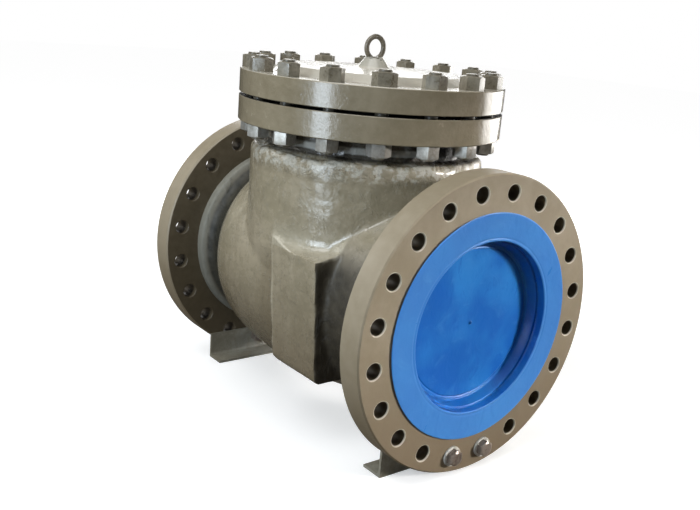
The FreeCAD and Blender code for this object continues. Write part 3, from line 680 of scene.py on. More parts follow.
@dataclass(frozen=True)
class GasketSheet:
    """Dark compressed gasket sheet."""

    name: str
    colour: Colour
    fibre_brightness: float = 2.2
    fibre_depth: float = 0.0002

    def material(self) -> Material:
        """Return the material: fibrous and dull.

        Returns:
            The material.
        """
        sheet = Sheet(self.name)
        fibres = sheet.grain(900.0, detail=3.0, roughness=0.7)
        bright = tuple(self.fibre_brightness * c for c in self.colour)
        return sheet.finish(
            {
                "Base Color": sheet.blend(fibres, self.colour, bright),
                "Roughness": 0.8,
                "Normal": sheet.relief(fibres, self.fibre_depth),
            }
        )


@dataclass(frozen=True)
class StudioFloor:
    """Pale studio paper, lit from behind far from the valve, that throws little light back."""

    name: str
    colour: Colour
    near_glow: float = 0.4
    far_glow: float = 0.9
    glow_start: float = 0.9
    glow_full: float = 3.2
    cloud_shade: float = 0.97
    thrown_back: Colour = (0.14, 0.12, 0.09)

    def material(self) -> Material:
        """Return the material, with only the slightest unevenness.

        Returns:
            The material.
        """
        sheet = Sheet(self.name)
        shaded = tuple(self.cloud_shade * c for c in self.colour)
        cloud = sheet.grain(0.8, detail=2.0)
        away = sheet.band(sheet.radius("Z", (0.0, 0.0, 0.0)), self.glow_start, self.glow_full)
        near, far = (tuple([glow] * 3) for glow in (self.near_glow, self.far_glow))
        seen = sheet.node(
            "ShaderNodeBsdfPrincipled",
            {},
            {
                "Base Color": sheet.blend(cloud * 0.5, self.colour, shaded),
                "Roughness": 0.9,
                "Emission Color": sheet.blend(away, near, far),
                "Emission Strength": 1.0,
            },
        )
        felt = sheet.node(
            "ShaderNodeBsdfPrincipled",
            {},
            {"Base Color": (*self.thrown_back, 1.0), "Roughness": 0.9},
        )
        return sheet.end(sheet.seen_and_felt(seen, felt))


# The valve's finishes

# the hub where the inlet flange shades it, painted in shade and made duller
INLET_FLANGE_SHADOW = (along_pipe(0.199, 0.2018), height(0.5, 0.4), across(0.08, -0.04))
SHOULDER_FROM = along_pipe(-0.13, -0.05)

BODY_ENAMEL = Enamel(
    "body_enamel",
    shades((162, 151, 129), (140, 131, 109), (182, 172, 150)),
    roughness=0.27,
    coat=0.6,
    coat_roughness=0.17,
    dent_depth=0.0032,
    pebble_scale=80.0,
    pebble_depth=0.0005,
    peel_depth=0.00012,
    scar_depth=0.0008,
    painted_shading=(
        # painted shade on the underside, and on the hub in the inlet flange's shadow
        PaintedShading(paint(84, 69, 48), 0.72, (height(0.46, 0.1),)),
        PaintedShading(paint(42, 37, 28), 0.9, INLET_FLANGE_SHADOW),
        # painted shade in the waist, and a painted bluish-grey sheen on the hub at the outlet
        PaintedShading(paint(34, 34, 28), 0.92, (along_pipe(-0.262, -0.285), along_pipe(-0.352, -0.338))),
        PaintedShading(paint(112, 116, 112), 0.6, (along_pipe(-0.340, -0.350),)),
        # painted highlights on the crusted shoulder under the nuts
        PaintedShading(
            paint(204, 202, 191),
            0.62,
            (height(0.588, 0.612), height(0.640, 0.632), SHOULDER_FROM),
            patchy=True,
        ),
        # the collar above it: painted shade, with a painted highlight band, and the deepest painted
        # shade behind
        PaintedShading(paint(40, 37, 31), 0.9, (height(0.631, 0.638),)),
        PaintedShading(paint(168, 168, 162), 0.85, (height(0.645, 0.650), height(0.664, 0.658))),
        PaintedShading(paint(16, 14, 11), 1.0, (height(0.630, 0.638), across(-0.06, 0.0))),
        # painted shade left of the housing's edge, a painted highlight where the flare meets the
        # housing's top, and one down the edge itself
        PaintedShading(
            paint(96, 84, 62),
            0.5,
            (along_pipe(-0.05, 0.026), along_pipe(0.033, 0.031), height(0.45, 0.36)),
        ),
        PaintedShading(
            paint(188, 182, 163),
            0.4,
            (
                along_pipe(0.030, 0.034),
                along_pipe(0.206, 0.198),
                height(0.429, 0.433),
                height(0.50, 0.44),
            ),
        ),
        PaintedShading(
            paint(184, 176, 155),
            0.45,
            (
                along_pipe(0.030, 0.032),
                along_pipe(0.039, 0.036),
                height(0.16, 0.17),
                height(0.44, 0.43),
            ),
        ),
    ),
    crust=(height(0.583, 0.605), height(0.650, 0.640), SHOULDER_FROM),
    dull=(INLET_FLANGE_SHADOW, (along_pipe(-0.30, -0.33),)),
)
FLANGE_ENAMEL = Enamel(
    "flange_enamel",
    shades((150, 138, 117), (138, 126, 104), (162, 151, 131)),
    roughness=0.5,
    coat=0.08,
    dent_scale=9.0,
    dent_depth=0.0004,
    pebble_scale=90.0,
    pebble_depth=0.00016,
    peel_scale=500.0,
    peel_depth=0.0001,
    painted_shading=(
        # painted shade on the lower half, on the flanges' backs and in the bolt holes, and painted
        # highlights on the holes' rims
        PaintedShading(paint(98, 80, 56), 0.62, (height(0.4, 0.05),)),
        PaintedShading(
            paint(78, 68, 50),
            0.93,
            (from_middle(0.4285, 0.4265), Stretch(Measure.FROM_AXIS, 0.3215, 0.3195)),
        ),
        PaintedShading(
            paint(206, 199, 182),
            0.85,
            (from_middle(0.4262, 0.4275), Stretch(Measure.FROM_HOLE, 0.0203, 0.0191)),
        ),
    ),
)
COVER_ENAMEL = Enamel(
    "cover_enamel",
    shades((142, 132, 111), (128, 118, 97), (156, 146, 125)),
    roughness=0.24,
    coat=0.5,
    dent_scale=42.0,
    dent_depth=0.0011,
    pebble_scale=140.0,
    pebble_depth=0.0005,
    peel_depth=0.0002,
    painted_shading=(
        # painted light on the top, a little less of it on the mound, and painted shade in the gap
        # over the gasket
        PaintedShading(paint(192, 187, 174), 0.9, (height(0.7935, 0.7952),)),
        PaintedShading(paint(172, 168, 156), 0.9, (height(0.816, 0.820),)),
        PaintedShading(paint(16, 14, 11), 0.97, (height(0.7358, 0.7368), height(0.7442, 0.7432))),
    ),
)
FASTENER_ENAMEL = Enamel(
    "fastener_enamel",
    shades((138, 131, 115), (108, 101, 86), (162, 158, 146)),
    roughness=0.3,
    coat=0.3,
    dent_scale=60.0,
    dent_depth=0.0006,
    pebble_scale=260.0,
    pebble_depth=0.0002,
    mottle_scale=18.0,
)
STUD_ENAMEL = replace(
    FASTENER_ENAMEL,
    name="stud_enamel",
    shades=shades((118, 111, 96), (88, 82, 69), (150, 144, 131)),
    roughness=0.34,
    coat=0.2,
)
LOWER_NUT_STEEL = replace(
    STUD_ENAMEL,
    name="lower_nut_steel",
    shades=shades((178, 175, 168), (136, 131, 121), (206, 207, 207)),
    roughness=0.36,
    dent_depth=0.0005,
    metallic=0.5,
)
ZINC_PLATING = Enamel(
    "zinc_plating",
    shades((138, 126, 116), (92, 80, 71), (184, 176, 168)),
    coat=0.1,
    dent_scale=70.0,
    dent_depth=0.0003,
    pebble_scale=300.0,
    pebble_depth=0.0001,
    mottle_scale=26.0,
    metallic=0.4,
)
WASHER_PLATING = replace(
    ZINC_PLATING,
    name="washer_plating",
    shades=shades((222, 220, 214), (176, 172, 164), (236, 235, 232)),
    roughness=0.32,
    metallic=0.1,
)
FOOT_ENAMEL = Enamel(
    "foot_enamel",
    shades((150, 146, 132), (122, 116, 101), (172, 170, 159)),
    roughness=0.36,
    coat=0.25,
    dent_scale=14.0,
    dent_depth=0.001,
    pebble_scale=160.0,
    pebble_depth=0.0002,
    mottle_scale=9.0,
)
RING_ENAMEL = Enamel(
    "ring_enamel",
    shades((120, 111, 96), (92, 84, 70), (150, 144, 130)),
    roughness=0.36,
    dent_scale=70.0,
    dent_depth=0.001,
    pebble_scale=300.0,
    pebble_depth=0.0003,
    mottle_scale=22.0,
)
WELD_ENAMEL = replace(
    RING_ENAMEL,
    name="weld_enamel",
    shades=shades((150, 146, 134), (96, 90, 77), (200, 198, 190)),
    roughness=0.24,
    coat=0.6,
    dent_scale=90.0,
    pebble_depth=0.0004,
    mottle_scale=26.0,
)
GASKET = GasketSheet("gasket_sheet", paint(20, 19, 18))
CAP_PLASTIC = MouldedPlastic(
    "cap_plastic",
    colour=paint(42, 122, 196),
    deep=paint(20, 92, 174),
    dust=paint(82, 150, 212),
    face=paint(78, 138, 206),
    # the painted shade on the upper part of the cup's wall
    wall=paint(0, 56, 134),
)
SEAT_STEEL = BareMetal("seat_steel", *shades((196, 196, 194), (160, 158, 154)), 0.28)
DISC_STEEL = BareMetal("disc_steel", *shades((150, 148, 144), (110, 106, 100)), 0.45)
BUSH_BRONZE = BareMetal("bush_bronze", *shades((196, 156, 96), (150, 112, 62)), 0.35)
STUDIO_PAPER = StudioFloor("studio_paper", (0.86, 0.86, 0.86))


# Mesh helpers


def keep_side(form: Form, place: Vector, outward: Vector) -> None:
    """Cut a mesh by a plane and drop what lies outward of it.

    Args:
        form: The mesh.
        place: A point on the plane.
        outward: The plane's normal.
    """
    bmesh.ops.bisect_plane(
        form,
        geom=form.verts[:] + form.edges[:] + form.faces[:],
        dist=CUT_DISTANCE,
        plane_co=place,
        plane_no=outward,
        clear_outer=True,
    )


def open_edges(form: Form) -> list[bmesh.types.BMEdge]:
    """Return the edges that bound only one face."""
    return [edge for edge in form.edges if edge.is_boundary]


def open_edges_on(form: Form, place: Vector, outward: Vector) -> list[bmesh.types.BMEdge]:
    """Return the edges that bound only one face and lie on a plane.

    Args:
        form: The mesh.
        place: A point on the plane.
        outward: The plane's normal.

    Returns:
        The edges.
    """

    def lies_on(vert: bmesh.types.BMVert) -> bool:
        """Return whether a point is on the plane."""
        return abs((vert.co - place).dot(outward)) < ON_PLANE

    return [edge for edge in open_edges(form) if all(map(lies_on, edge.verts))]


def copied(node: Solid) -> Form:
    """Return a welded copy of a solid's mesh.

    Args:
        node: The solid.

    Returns:
        The copy.
    """
    form = bmesh.new()
    form.from_mesh(node.data)
    bmesh.ops.remove_doubles(form, verts=form.verts[:], dist=WELD_DISTANCE)
    return form


def islands(form: Form) -> list[list[bmesh.types.BMVert]]:
    """Return the connected parts of a mesh.

    Args:
        form: The mesh.

    Returns:
        The vertices of each part.
    """
    found: list[list[bmesh.types.BMVert]] = []
    seen: set[bmesh.types.BMVert] = set()
    for start in form.verts:
        if start in seen:
            continue
        seen.add(start)
        part, waiting = [], [start]
        while waiting:
            vert = waiting.pop()
            part.append(vert)
            for edge in vert.link_edges:
                other = edge.other_vert(vert)
                if other not in seen:
                    seen.add(other)
                    waiting.append(other)
        found.append(part)
    return found


def as_mesh(form: Form, name: str) -> Mesh:
    """Turn a bmesh into a mesh without the normals of its import, and free it.

    Args:
        form: The bmesh.
        name: The mesh's name.

    Returns:
        The mesh.
    """
    mesh = bpy.data.meshes.new(name)
    form.to_mesh(mesh)
    form.free()
    imported = mesh.attributes.get("custom_normal")
    if imported is not None:
        mesh.attributes.remove(imported)
    return mesh


def eased(node: Solid, width: float, name: str) -> Mesh:
    """Return a copy of a solid's mesh with its sharp outer edges rounded a little.

    Args:
        node: The solid.
        width: How far the rounding reaches from each edge in metres.
        name: The new mesh's name.

    Returns:
        The mesh.
    """
    form = copied(node)
    bmesh.ops.dissolve_limit(
        form,
        angle_limit=math.radians(1),
        use_dissolve_boundaries=False,
        verts=form.verts[:],
        edges=form.edges[:],
    )
    turned = [
        edge
        for edge in form.edges
        if edge.is_manifold and edge.is_convex and edge.calc_face_angle() > math.radians(40)
    ]
    bmesh.ops.bevel(
        form,
        geom=turned,
        offset=width,
        segments=2,
        profile=0.7,
        affect="EDGES",
        clamp_overlap=True,
        material=-1,
    )
    bmesh.ops.recalc_face_normals(form, faces=form.faces[:])
    return as_mesh(form, name)


def eased_line(corners_of: Outline, reach: float) -> Outline:
    """Return an outline with its inner corners rounded.

    Args:
        corners_of: The outline's corners.
        reach: How far each rounding reaches from its corner in metres.

    Returns:
        The outline's points.
    """
    line = [Vector(corner) for corner in corners_of]
    points = [line[0]]
    for before, corner, after in zip(line, line[1:], line[2:]):
        start, end = (
            corner + (side - corner).normalized() * min(reach, (side - corner).length / 2.2)
            for side in (before, after)
        )
        for share in (0.0, 0.33, 0.67, 1.0):
            points.append(start.lerp(corner, share).lerp(corner.lerp(end, share), share))
    points.append(line[-1])
    return [(point.x, point.y) for point in points]


def divided(points: Outline, step: float) -> Outline:
    """Return an outline with its long straight stretches cut up.

    Args:
        points: The outline.
        step: The longest stretch that stays whole.

    Returns:
        The new outline.
    """
    cut = [points[0]]
    for start, end in zip(points, points[1:]):
        pieces = max(1, math.ceil(math.dist(start, end) / step))
        for k in range(1, pieces + 1):
            cut.append(tuple(a + (b - a) * k / pieces for a, b in zip(start, end)))
    return cut


def spun(points: Outline, axis_height: float, steps: int) -> Form:
    """Turn an outline about the pipe axis.

    Args:
        points: The outline as places along X and radii, from the axis back to the axis.
        axis_height: The height of the pipe axis.
        steps: How many steps go round.

    Returns:
        The closed form.
    """
    form = bmesh.new()
    verts = [form.verts.new((x, 0.0, axis_height + radius)) for x, radius in points]
    edges = [form.edges.new(pair) for pair in zip(verts, verts[1:])]
    bmesh.ops.spin(
        form,
        geom=verts + edges,
        cent=(0.0, 0.0, axis_height),
        axis=(1.0, 0.0, 0.0),
        angle=2 * math.pi,
        steps=steps,
        use_merge=True,
    )
    bmesh.ops.remove_doubles(form, verts=form.verts[:], dist=WELD_DISTANCE)
    bmesh.ops.recalc_face_normals(form, faces=form.faces[:])
    return form


def put_in_scene(name: str, data: bpy.types.ID) -> Solid:
    """Make an object of a mesh, a lamp or a camera.

    Args:
        name: The object's name.
        data: What it shows.

    Returns:
        The object.
    """
    made = bpy.data.objects.new(name, data)
    bpy.context.scene.collection.objects.link(made)
    return made


def revoxelled(mesh: Mesh, size: float) -> Mesh:
    """Return a mesh of even squares around a closed mesh.

    Args:
        mesh: The closed mesh, which is used up.
        size: The side of a square in metres.

    Returns:
        The new mesh.
    """
    helper = put_in_scene("helper", mesh)
    remesh = helper.modifiers.new("squares", "REMESH")
    remesh.mode = "VOXEL"
    remesh.voxel_size = size
    evaluated = helper.evaluated_get(bpy.context.evaluated_depsgraph_get())
    result = bpy.data.meshes.new_from_object(evaluated)
    bpy.data.objects.remove(helper)
    bpy.data.meshes.remove(mesh)
    return result


def positions(mesh: Mesh) -> np.ndarray:
    """Return a mesh's points.

    Args:
        mesh: The mesh.

    Returns:
        One row for each point.
    """
    flat = np.empty(len(mesh.vertices) * 3)
    mesh.vertices.foreach_get("co", flat)
    return flat.reshape(-1, 3)


def normals(mesh: Mesh) -> np.ndarray:
    """Return a mesh's point normals.

    Args:
        mesh: The mesh.

    Returns:
        One row for each point.
    """
    flat = np.empty(len(mesh.vertices) * 3)
    mesh.vertex_normals.foreach_get("vector", flat)
    return flat.reshape(-1, 3)


def set_positions(mesh: Mesh, points: np.ndarray) -> None:
    """Move the mesh's points to these rows."""
    mesh.vertices.foreach_set("co", points.ravel())
    mesh.update()


class Neighbours:
    """Which points of a mesh are joined, for smoothing."""

    def __init__(self, mesh: Mesh) -> None:
        """Read the mesh's edges.

        Args:
            mesh: The mesh.
        """
        pairs = np.empty(len(mesh.edges) * 2, np.int64)
        mesh.edges.foreach_get("vertices", pairs)
        self.pairs = pairs.reshape(-1, 2)
        self.total = len(mesh.vertices)
        self.counts = np.maximum(np.bincount(self.pairs.ravel(), minlength=self.total), 1)

    def mean(self, values: np.ndarray) -> np.ndarray:
        """Return for each point the mean of its neighbours' values.

        Args:
            values: One value or one row for each point.

        Returns:
            The means.
        """
        first, second = self.pairs[:, 0], self.pairs[:, 1]
        summed = [
            np.bincount(first, column[second], self.total)
            + np.bincount(second, column[first], self.total)
            for column in values.reshape(self.total, -1).T
        ]
        return (np.column_stack(summed) / self.counts[:, None]).reshape(values.shape)

    def blurred(self, values: np.ndarray, rounds: int) -> np.ndarray:
        """Return values that are spread over their neighbours.

        Args:
            values: One value for each point.
            rounds: How many times each becomes its neighbours' mean.

        Returns:
            The new values.
        """
        for _ in range(rounds):
            values = self.mean(values)
        return values


def fill_hollows(mesh: Mesh, square: float, radius: float, rounds: int) -> np.ndarray:
    """Fill the sharp inner corners of an even mesh until they have this radius.

    Args:
        mesh: A mesh of even squares.
        square: The side of a square.
        radius: The radius of the cast corner.
        rounds: How many small steps to take.

    Returns:
        How far each point has moved.
    """
    near = Neighbours(mesh)
    start = positions(mesh)
    threshold = square * square / (4 * radius)
    points = start.copy()
    for _ in range(rounds):
        outward = normals(mesh)
        rise = np.einsum("ij,ij->i", near.mean(points) - points, outward)
        points += 0.8 * np.maximum(rise - threshold, 0)[:, None] * outward
        set_positions(mesh, points)
    return np.linalg.norm(points - start, axis=1)


def soften(mesh: Mesh, rounds: int, share: float = 0.5) -> None:
    """Smooth a mesh evenly, with a step back after each step so that it keeps its size.

    Args:
        mesh: The mesh.
        rounds: How many times to smooth it.
        share: How far each point goes towards its neighbours' mean.
    """
    near = Neighbours(mesh)
    points = positions(mesh)
    for _ in range(rounds):
        points += share * (near.mean(points) - points)
        points -= (share + 0.03) * (near.mean(points) - points)
    set_positions(mesh, points)


def rise_between(values: np.ndarray, low: float, high: float) -> np.ndarray:
    """Return 0 below low, 1 above high and a smooth rise between."""
    share = np.clip((values - low) / (high - low), 0, 1)
    return share * share * (3 - 2 * share)


def waves(points: np.ndarray, scale: Point, octaves: int, shift: float) -> np.ndarray:
    """Return soft noise between about -1 and 1 at each point.

    Args:
        points: Rows of points in metres.
        scale: Waves for each metre along X, Y and Z.
        octaves: How many sizes of wave to add.
        shift: Moves the pattern, so that two are not alike.

    Returns:
        One value for each point.
    """
    scaled = points * np.array(scale) + shift
    return np.array([noise.fractal(Vector(row), 1.0, 2.0, octaves) for row in scaled])


def dressed(
    mesh: Mesh,
    name: str,
    finish: Material,
    body: str = ROOT_BODY,
    stands_for: Iterable[str] = (),
    sharp: float = 35.0,
) -> Solid:
    """Make a piece of a mesh: shade it, give it its finish and let it ride on its body.

    Args:
        mesh: The finished mesh, in place.
        name: The piece's name.
        finish: Its material.
        body: The body that it moves with.
        stands_for: The solids that it replaces.
        sharp: Edges that turn by more than this many degrees stay sharp.

    Returns:
        The piece.
    """
    mesh.materials.clear()
    mesh.materials.append(finish)
    mesh.shade_smooth()
    mesh.set_sharp_from_angle(angle=math.radians(sharp))
    piece = put_in_scene(name, mesh)
    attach(piece, body)
    if stands_for:
        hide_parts(*stands_for)
    LOG.info("%s: %d faces", name, len(mesh.polygons))
    return piece


def repaint(node: Solid, finish: Material) -> None:
    """Give a solid that stays as it is a new finish.

    Args:
        node: The solid.
        finish: Its material.
    """
    node.data.materials.clear()
    node.data.materials.append(finish)
    LOG.info("%s keeps its shape", node.name)


# Sub-assemblies


@dataclass
class Layout:
    """Planes and heights of the valve, read from its solids."""

    axis_height: float = field(init=False)
    flange_back: float = field(init=False)
    body_flange_bottom: float = field(init=False)
    shoulder_height: float = field(init=False)

    def __post_init__(self) -> None:
        """Read the solids' corners."""
        seat_low, seat_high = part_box("seat_ring")
        self.axis_height = (seat_low.z + seat_high.z) / 2
        self.flange_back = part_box("inlet_foot")[1].x
        self.body_flange_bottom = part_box("bonnet_nuts_lower")[1].z
        self.shoulder_height = self.axis_height + 0.3


@dataclass
class Casting:
    """The valve body: a rough-cast barrel, neck and housing between machined flanges."""

    layout: Layout
    node: Solid
    square: float = 0.005
    corner_radius: float = 0.018
    corner_rounds: int = 40
    joint_inset: float = 0.0005
    stub: float = 0.015
    calm_edge: Span = (0.004, 0.03)
    shoulder_depth: float = 0.05
    shoulder_from: Span = (-0.13, -0.05)
    broad_wave: float = 0.0009
    broad_scale: Point = (14.0, 14.0, 11.0)
    lump_height: float = 0.0022
    lump_scale: Point = (48.0, 48.0, 60.0)
    uneven_scale: Point = (13.0, 13.0, 22.0)
    ridge_height: float = 0.0012
    ridge_spacing: float = 0.0022
    ridge_from: float = 0.002
    edge_swell: float = 0.0016
    edge_bend: float = 0.12
    edge_heights: Span = (0.36, 0.42)
    ledge_rise: float = 0.009
    ledge_turn: Span = (0.2, 0.7)
    ledge_heights: Span = (-0.03, -0.008)
    ledge_top: float = 0.012

    def _planes(self) -> list[tuple[Vector, Vector]]:
        """Return the planes that part the casting from its flanges.

        Returns:
            A place and the outward normal of each.
        """
        reach = self.layout.flange_back - self.joint_inset
        top = self.layout.body_flange_bottom - self.joint_inset
        return [
            (Vector((reach, 0, 0)), Vector((1, 0, 0))),
            (Vector((-reach, 0, 0)), Vector((-1, 0, 0))),
            (Vector((0, 0, top)), Vector((0, 0, 1))),
        ]

    def _between_flanges(self) -> Form:
        """Return the part of the solid between the three planes.

        Returns:
            The part, with open ends.
        """
        form = copied(self.node)
        for place, outward in self._planes():
            keep_side(form, place, outward)
        return form

    def _split(self) -> tuple[Form, Form]:
        """Part the outer skin from the inner wall.

        Returns:
            The skin and the wall, with open ends.
        """
        outer, inner = self._between_flanges(), self._between_flanges()
        for form, keeps_outer in ((outer, True), (inner, False)):
            parts = islands(form)
            skin = min(parts, key=lambda part: min(vert.co.y for vert in part))
            dropped = [v for part in parts if (part is skin) != keeps_outer for v in part]
            bmesh.ops.delete(form, geom=dropped, context="VERTS")
        return outer, inner

    def _cast_skin(self, outer: Form) -> Form:
        """Turn the outer skin into a rough-cast one with rounded inner corners.

        Args:
            outer: The solid's own skin with open ends, which is used up.

        Returns:
            The cast skin with open ends.
        """
        for place, outward in self._planes():
            rim = open_edges_on(outer, place, outward)
            grown = bmesh.ops.extrude_edge_only(outer, edges=rim)["geom"]
            moved = [item for item in grown if isinstance(item, bmesh.types.BMVert)]
            bmesh.ops.translate(outer, verts=moved, vec=outward * self.stub)
            cap = [e for e in open_edges(outer) if e.verts[0] in moved and e.verts[1] in moved]
            bmesh.ops.edgeloop_fill(outer, edges=cap)
        bmesh.ops.recalc_face_normals(outer, faces=outer.faces[:])
        mesh = revoxelled(as_mesh(outer, "skin"), self.square)
        filled = fill_hollows(mesh, self.square, self.corner_radius, self.corner_rounds)
        soften(mesh, 2)
        self._roughen(mesh, filled)
        form = bmesh.new()
        form.from_mesh(mesh)
        bpy.data.meshes.remove(mesh)
        for place, outward in self._planes():
            keep_side(form, place, outward)
        return form

    def _roughen(self, mesh: Mesh, filled: np.ndarray) -> None:
        """Push the skin in and out as a sand casting is, more so at the shoulder and in corners.

        Args:
            mesh: The skin.
            filled: How far each point moved when the inner corners were filled.
        """
        points, outward, near = positions(mesh), normals(mesh), Neighbours(mesh)
        uneven = waves(points, self.uneven_scale, 2, 23.0)
        reach = np.minimum(
            self.layout.flange_back - np.abs(points[:, 0]),
            self.layout.body_flange_bottom - points[:, 2],
        )
        calm = rise_between(reach, *self.calm_edge)
        top = self.layout.shoulder_height
        shoulder = rise_between(points[:, 2], top - self.shoulder_depth, top)
        shoulder *= rise_between(points[:, 0], *self.shoulder_from)
        broad = waves(points, self.broad_scale, 2, 3.0) * self.broad_wave
        lumps = waves(points, self.lump_scale, 3, 11.0) * self.lump_height
        push = broad + lumps * (0.15 + 0.7 * shoulder)
        push += self._corner_ridges(filled, uneven, near)
        push += self._edge_swell(points, outward, uneven, near)
        moved = points + (push * calm)[:, None] * outward
        moved[:, 2] += self._ledge(points, outward, uneven, near)
        set_positions(mesh, moved)

    def _corner_ridges(
        self, filled: np.ndarray, uneven: np.ndarray, near: Neighbours
    ) -> np.ndarray:
        """Return the ridges that run along the filled inner corners.

        Args:
            filled: How far each point moved when the corners were filled.
            uneven: Slow noise at each point.
            near: Which points are joined.

        Returns:
            Their height at each point.
        """
        corner = near.blurred(np.minimum(filled / self.ridge_from, 1), 6)
        crests = np.sin(2 * math.pi * filled / self.ridge_spacing + 1.6 * uneven)
        return crests * (0.55 + 0.45 * uneven) * self.ridge_height * corner

    def _edge_swell(
        self, points: np.ndarray, outward: np.ndarray, uneven: np.ndarray, near: Neighbours
    ) -> np.ndarray:
        """Return the uneven swelling of the upper outer edges.

        Args:
            points: The skin's points.
            outward: Their normals.
            uneven: Slow noise at each point.
            near: Which points are joined.

        Returns:
            Its height at each point.
        """
        bend = np.einsum("ij,ij->i", points - near.mean(points), outward)
        edge = np.clip(bend / (self.square * self.edge_bend), 0, 1)
        edge = near.blurred(edge * rise_between(points[:, 2], *self.edge_heights), 2)
        return edge * (0.6 + 0.9 * uneven) * self.edge_swell

    def _ledge(
        self, points: np.ndarray, outward: np.ndarray, uneven: np.ndarray, near: Neighbours
    ) -> np.ndarray:
        """Return how far the crust raises the ledge under the lower nuts.

        Args:
            points: The skin's points.
            outward: Their normals.
            uneven: Slow noise at each point.
            near: Which points are joined.

        Returns:
            The rise at each point.
        """
        above = points[:, 2] - self.layout.shoulder_height
        ledge = rise_between(outward[:, 2], *self.ledge_turn)
        ledge = ledge * rise_between(above, *self.ledge_heights) * (above < self.ledge_top)
        return near.blurred(ledge, 3) * (0.75 + 0.5 * uneven) * self.ledge_rise

    def _close_ends(self, form: Form) -> None:
        """Join the skin to the inner wall with a ring at each open end.

        Args:
            form: The skin and the wall.
        """
        for place, outward in self._planes():
            rim = open_edges_on(form, place, outward)
            bmesh.ops.triangle_fill(form, use_beauty=True, use_dissolve=False, edges=rim)

    def _machined(self, side: int, name: str) -> Mesh:
        """Return one flange of the solid, cut off at its plane and closed there.

        Args:
            side: Which of the planes cuts it off.
            name: The mesh's name.

        Returns:
            The mesh.
        """
        place, outward = self._planes()[side]
        form = copied(self.node)
        keep_side(form, place, -outward)
        rim = open_edges(form)
        bmesh.ops.triangle_fill(form, use_beauty=True, use_dissolve=False, edges=rim)
        return as_mesh(form, name)

    def build(self) -> None:
        """Build the casting and its three flanges."""
        outer, inner = self._split()
        skin = self._cast_skin(outer)
        wall = as_mesh(inner, "wall")
        skin.from_mesh(wall)
        bpy.data.meshes.remove(wall)
        self._close_ends(skin)
        cast, rough = as_mesh(skin, "cast_body"), BODY_ENAMEL.material()
        dressed(cast, "cast_body", rough, stands_for=["valve_body"], sharp=50)
        enamel, smooth = FLANGE_ENAMEL.material(), COVER_ENAMEL.material()
        for side, name in enumerate(("inlet_flange", "outlet_flange", "body_flange")):
            finish = smooth if name == "body_flange" else enamel
            mesh = self._machined(side, name)
            dressed(mesh, name, finish, stands_for=["valve_body"])


@dataclass
class Cover:
    """The bolted cover with its gasket, its lifting ring and the weld that holds the ring."""

    nodes: dict
    mound_foot: float = 0.031
    mound_head: float = 0.019
    mound_height: float = 0.024
    lumps: int = 120
    lump_radius: float = 0.0032
    lump_clear: float = 0.006
    lump_sunk: float = 0.45
    seed: int = 7

    def _weld(self) -> Mesh:
        """Return the lumps of weld metal strewn over the mound under the ring.

        Returns:
            The mesh.
        """
        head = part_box("bonnet_cover")[1].z
        draw = np.random.default_rng(self.seed)
        form = bmesh.new()
        for _ in range(self.lumps):
            out = self.lump_clear + (self.mound_foot - self.lump_clear) * math.sqrt(draw.random())
            turn = 2 * math.pi * draw.random()
            slope = max(0.0, (out - self.mound_head) / (self.mound_foot - self.mound_head))
            size = self.lump_radius * (0.5 + draw.random())
            level = head - slope * self.mound_height - self.lump_sunk * size
            place = Matrix.Translation((out * math.cos(turn), out * math.sin(turn), level))
            shape = Matrix.Diagonal((1.0, 1.0 + 1.4 * draw.random(), 0.8, 1.0))
            lie = place @ (Matrix.Rotation(turn, 4, "Z") @ shape)
            bmesh.ops.create_icosphere(form, subdivisions=2, radius=size, matrix=lie)
        return as_mesh(form, "ring_weld")

    def build(self) -> None:
        """Build the weld and give the cover, gasket and ring their finishes."""
        repaint(self.nodes["bonnet_cover"], COVER_ENAMEL.material())
        repaint(self.nodes["bonnet_gasket"], GASKET.material())
        repaint(self.nodes["lifting_ring"], RING_ENAMEL.material())
        dressed(self._weld(), "ring_weld", WELD_ENAMEL.material())


@dataclass
class Fasteners:
    """The cover's studs and nuts and the bolts of the feet."""

    nodes: dict
    edge: float = 0.0011
    sharp: float = 20.0

    def _ease(self, node: str, name: str, finish: Material) -> None:
        """Put a copy with rounded edges in a node's place.

        Args:
            node: The node.
            name: The new piece's name.
            finish: Its material.
        """
        mesh = eased(self.nodes[node], self.edge, name)
        dressed(mesh, name, finish, stands_for=[node], sharp=self.sharp)

    def build(self) -> None:
        """Round the edges of the nuts and bolts and give the fasteners their finishes."""
        enamel, steel = FASTENER_ENAMEL.material(), LOWER_NUT_STEEL.material()
        plating, washer = ZINC_PLATING.material(), WASHER_PLATING.material()
        repaint(self.nodes["bonnet_studs"], STUD_ENAMEL.material())
        self._ease("bonnet_nuts_upper", "nuts_on_cover", enamel)
        self._ease("bonnet_nuts_lower", "nuts_under_flange", steel)
        for end in ("inlet", "outlet"):
            self._ease(f"{end}_foot_bolts", f"{end}_bolts_eased", plating)
            repaint(self.nodes[f"{end}_foot_nuts"], plating)
            repaint(self.nodes[f"{end}_foot_washers"], washer)


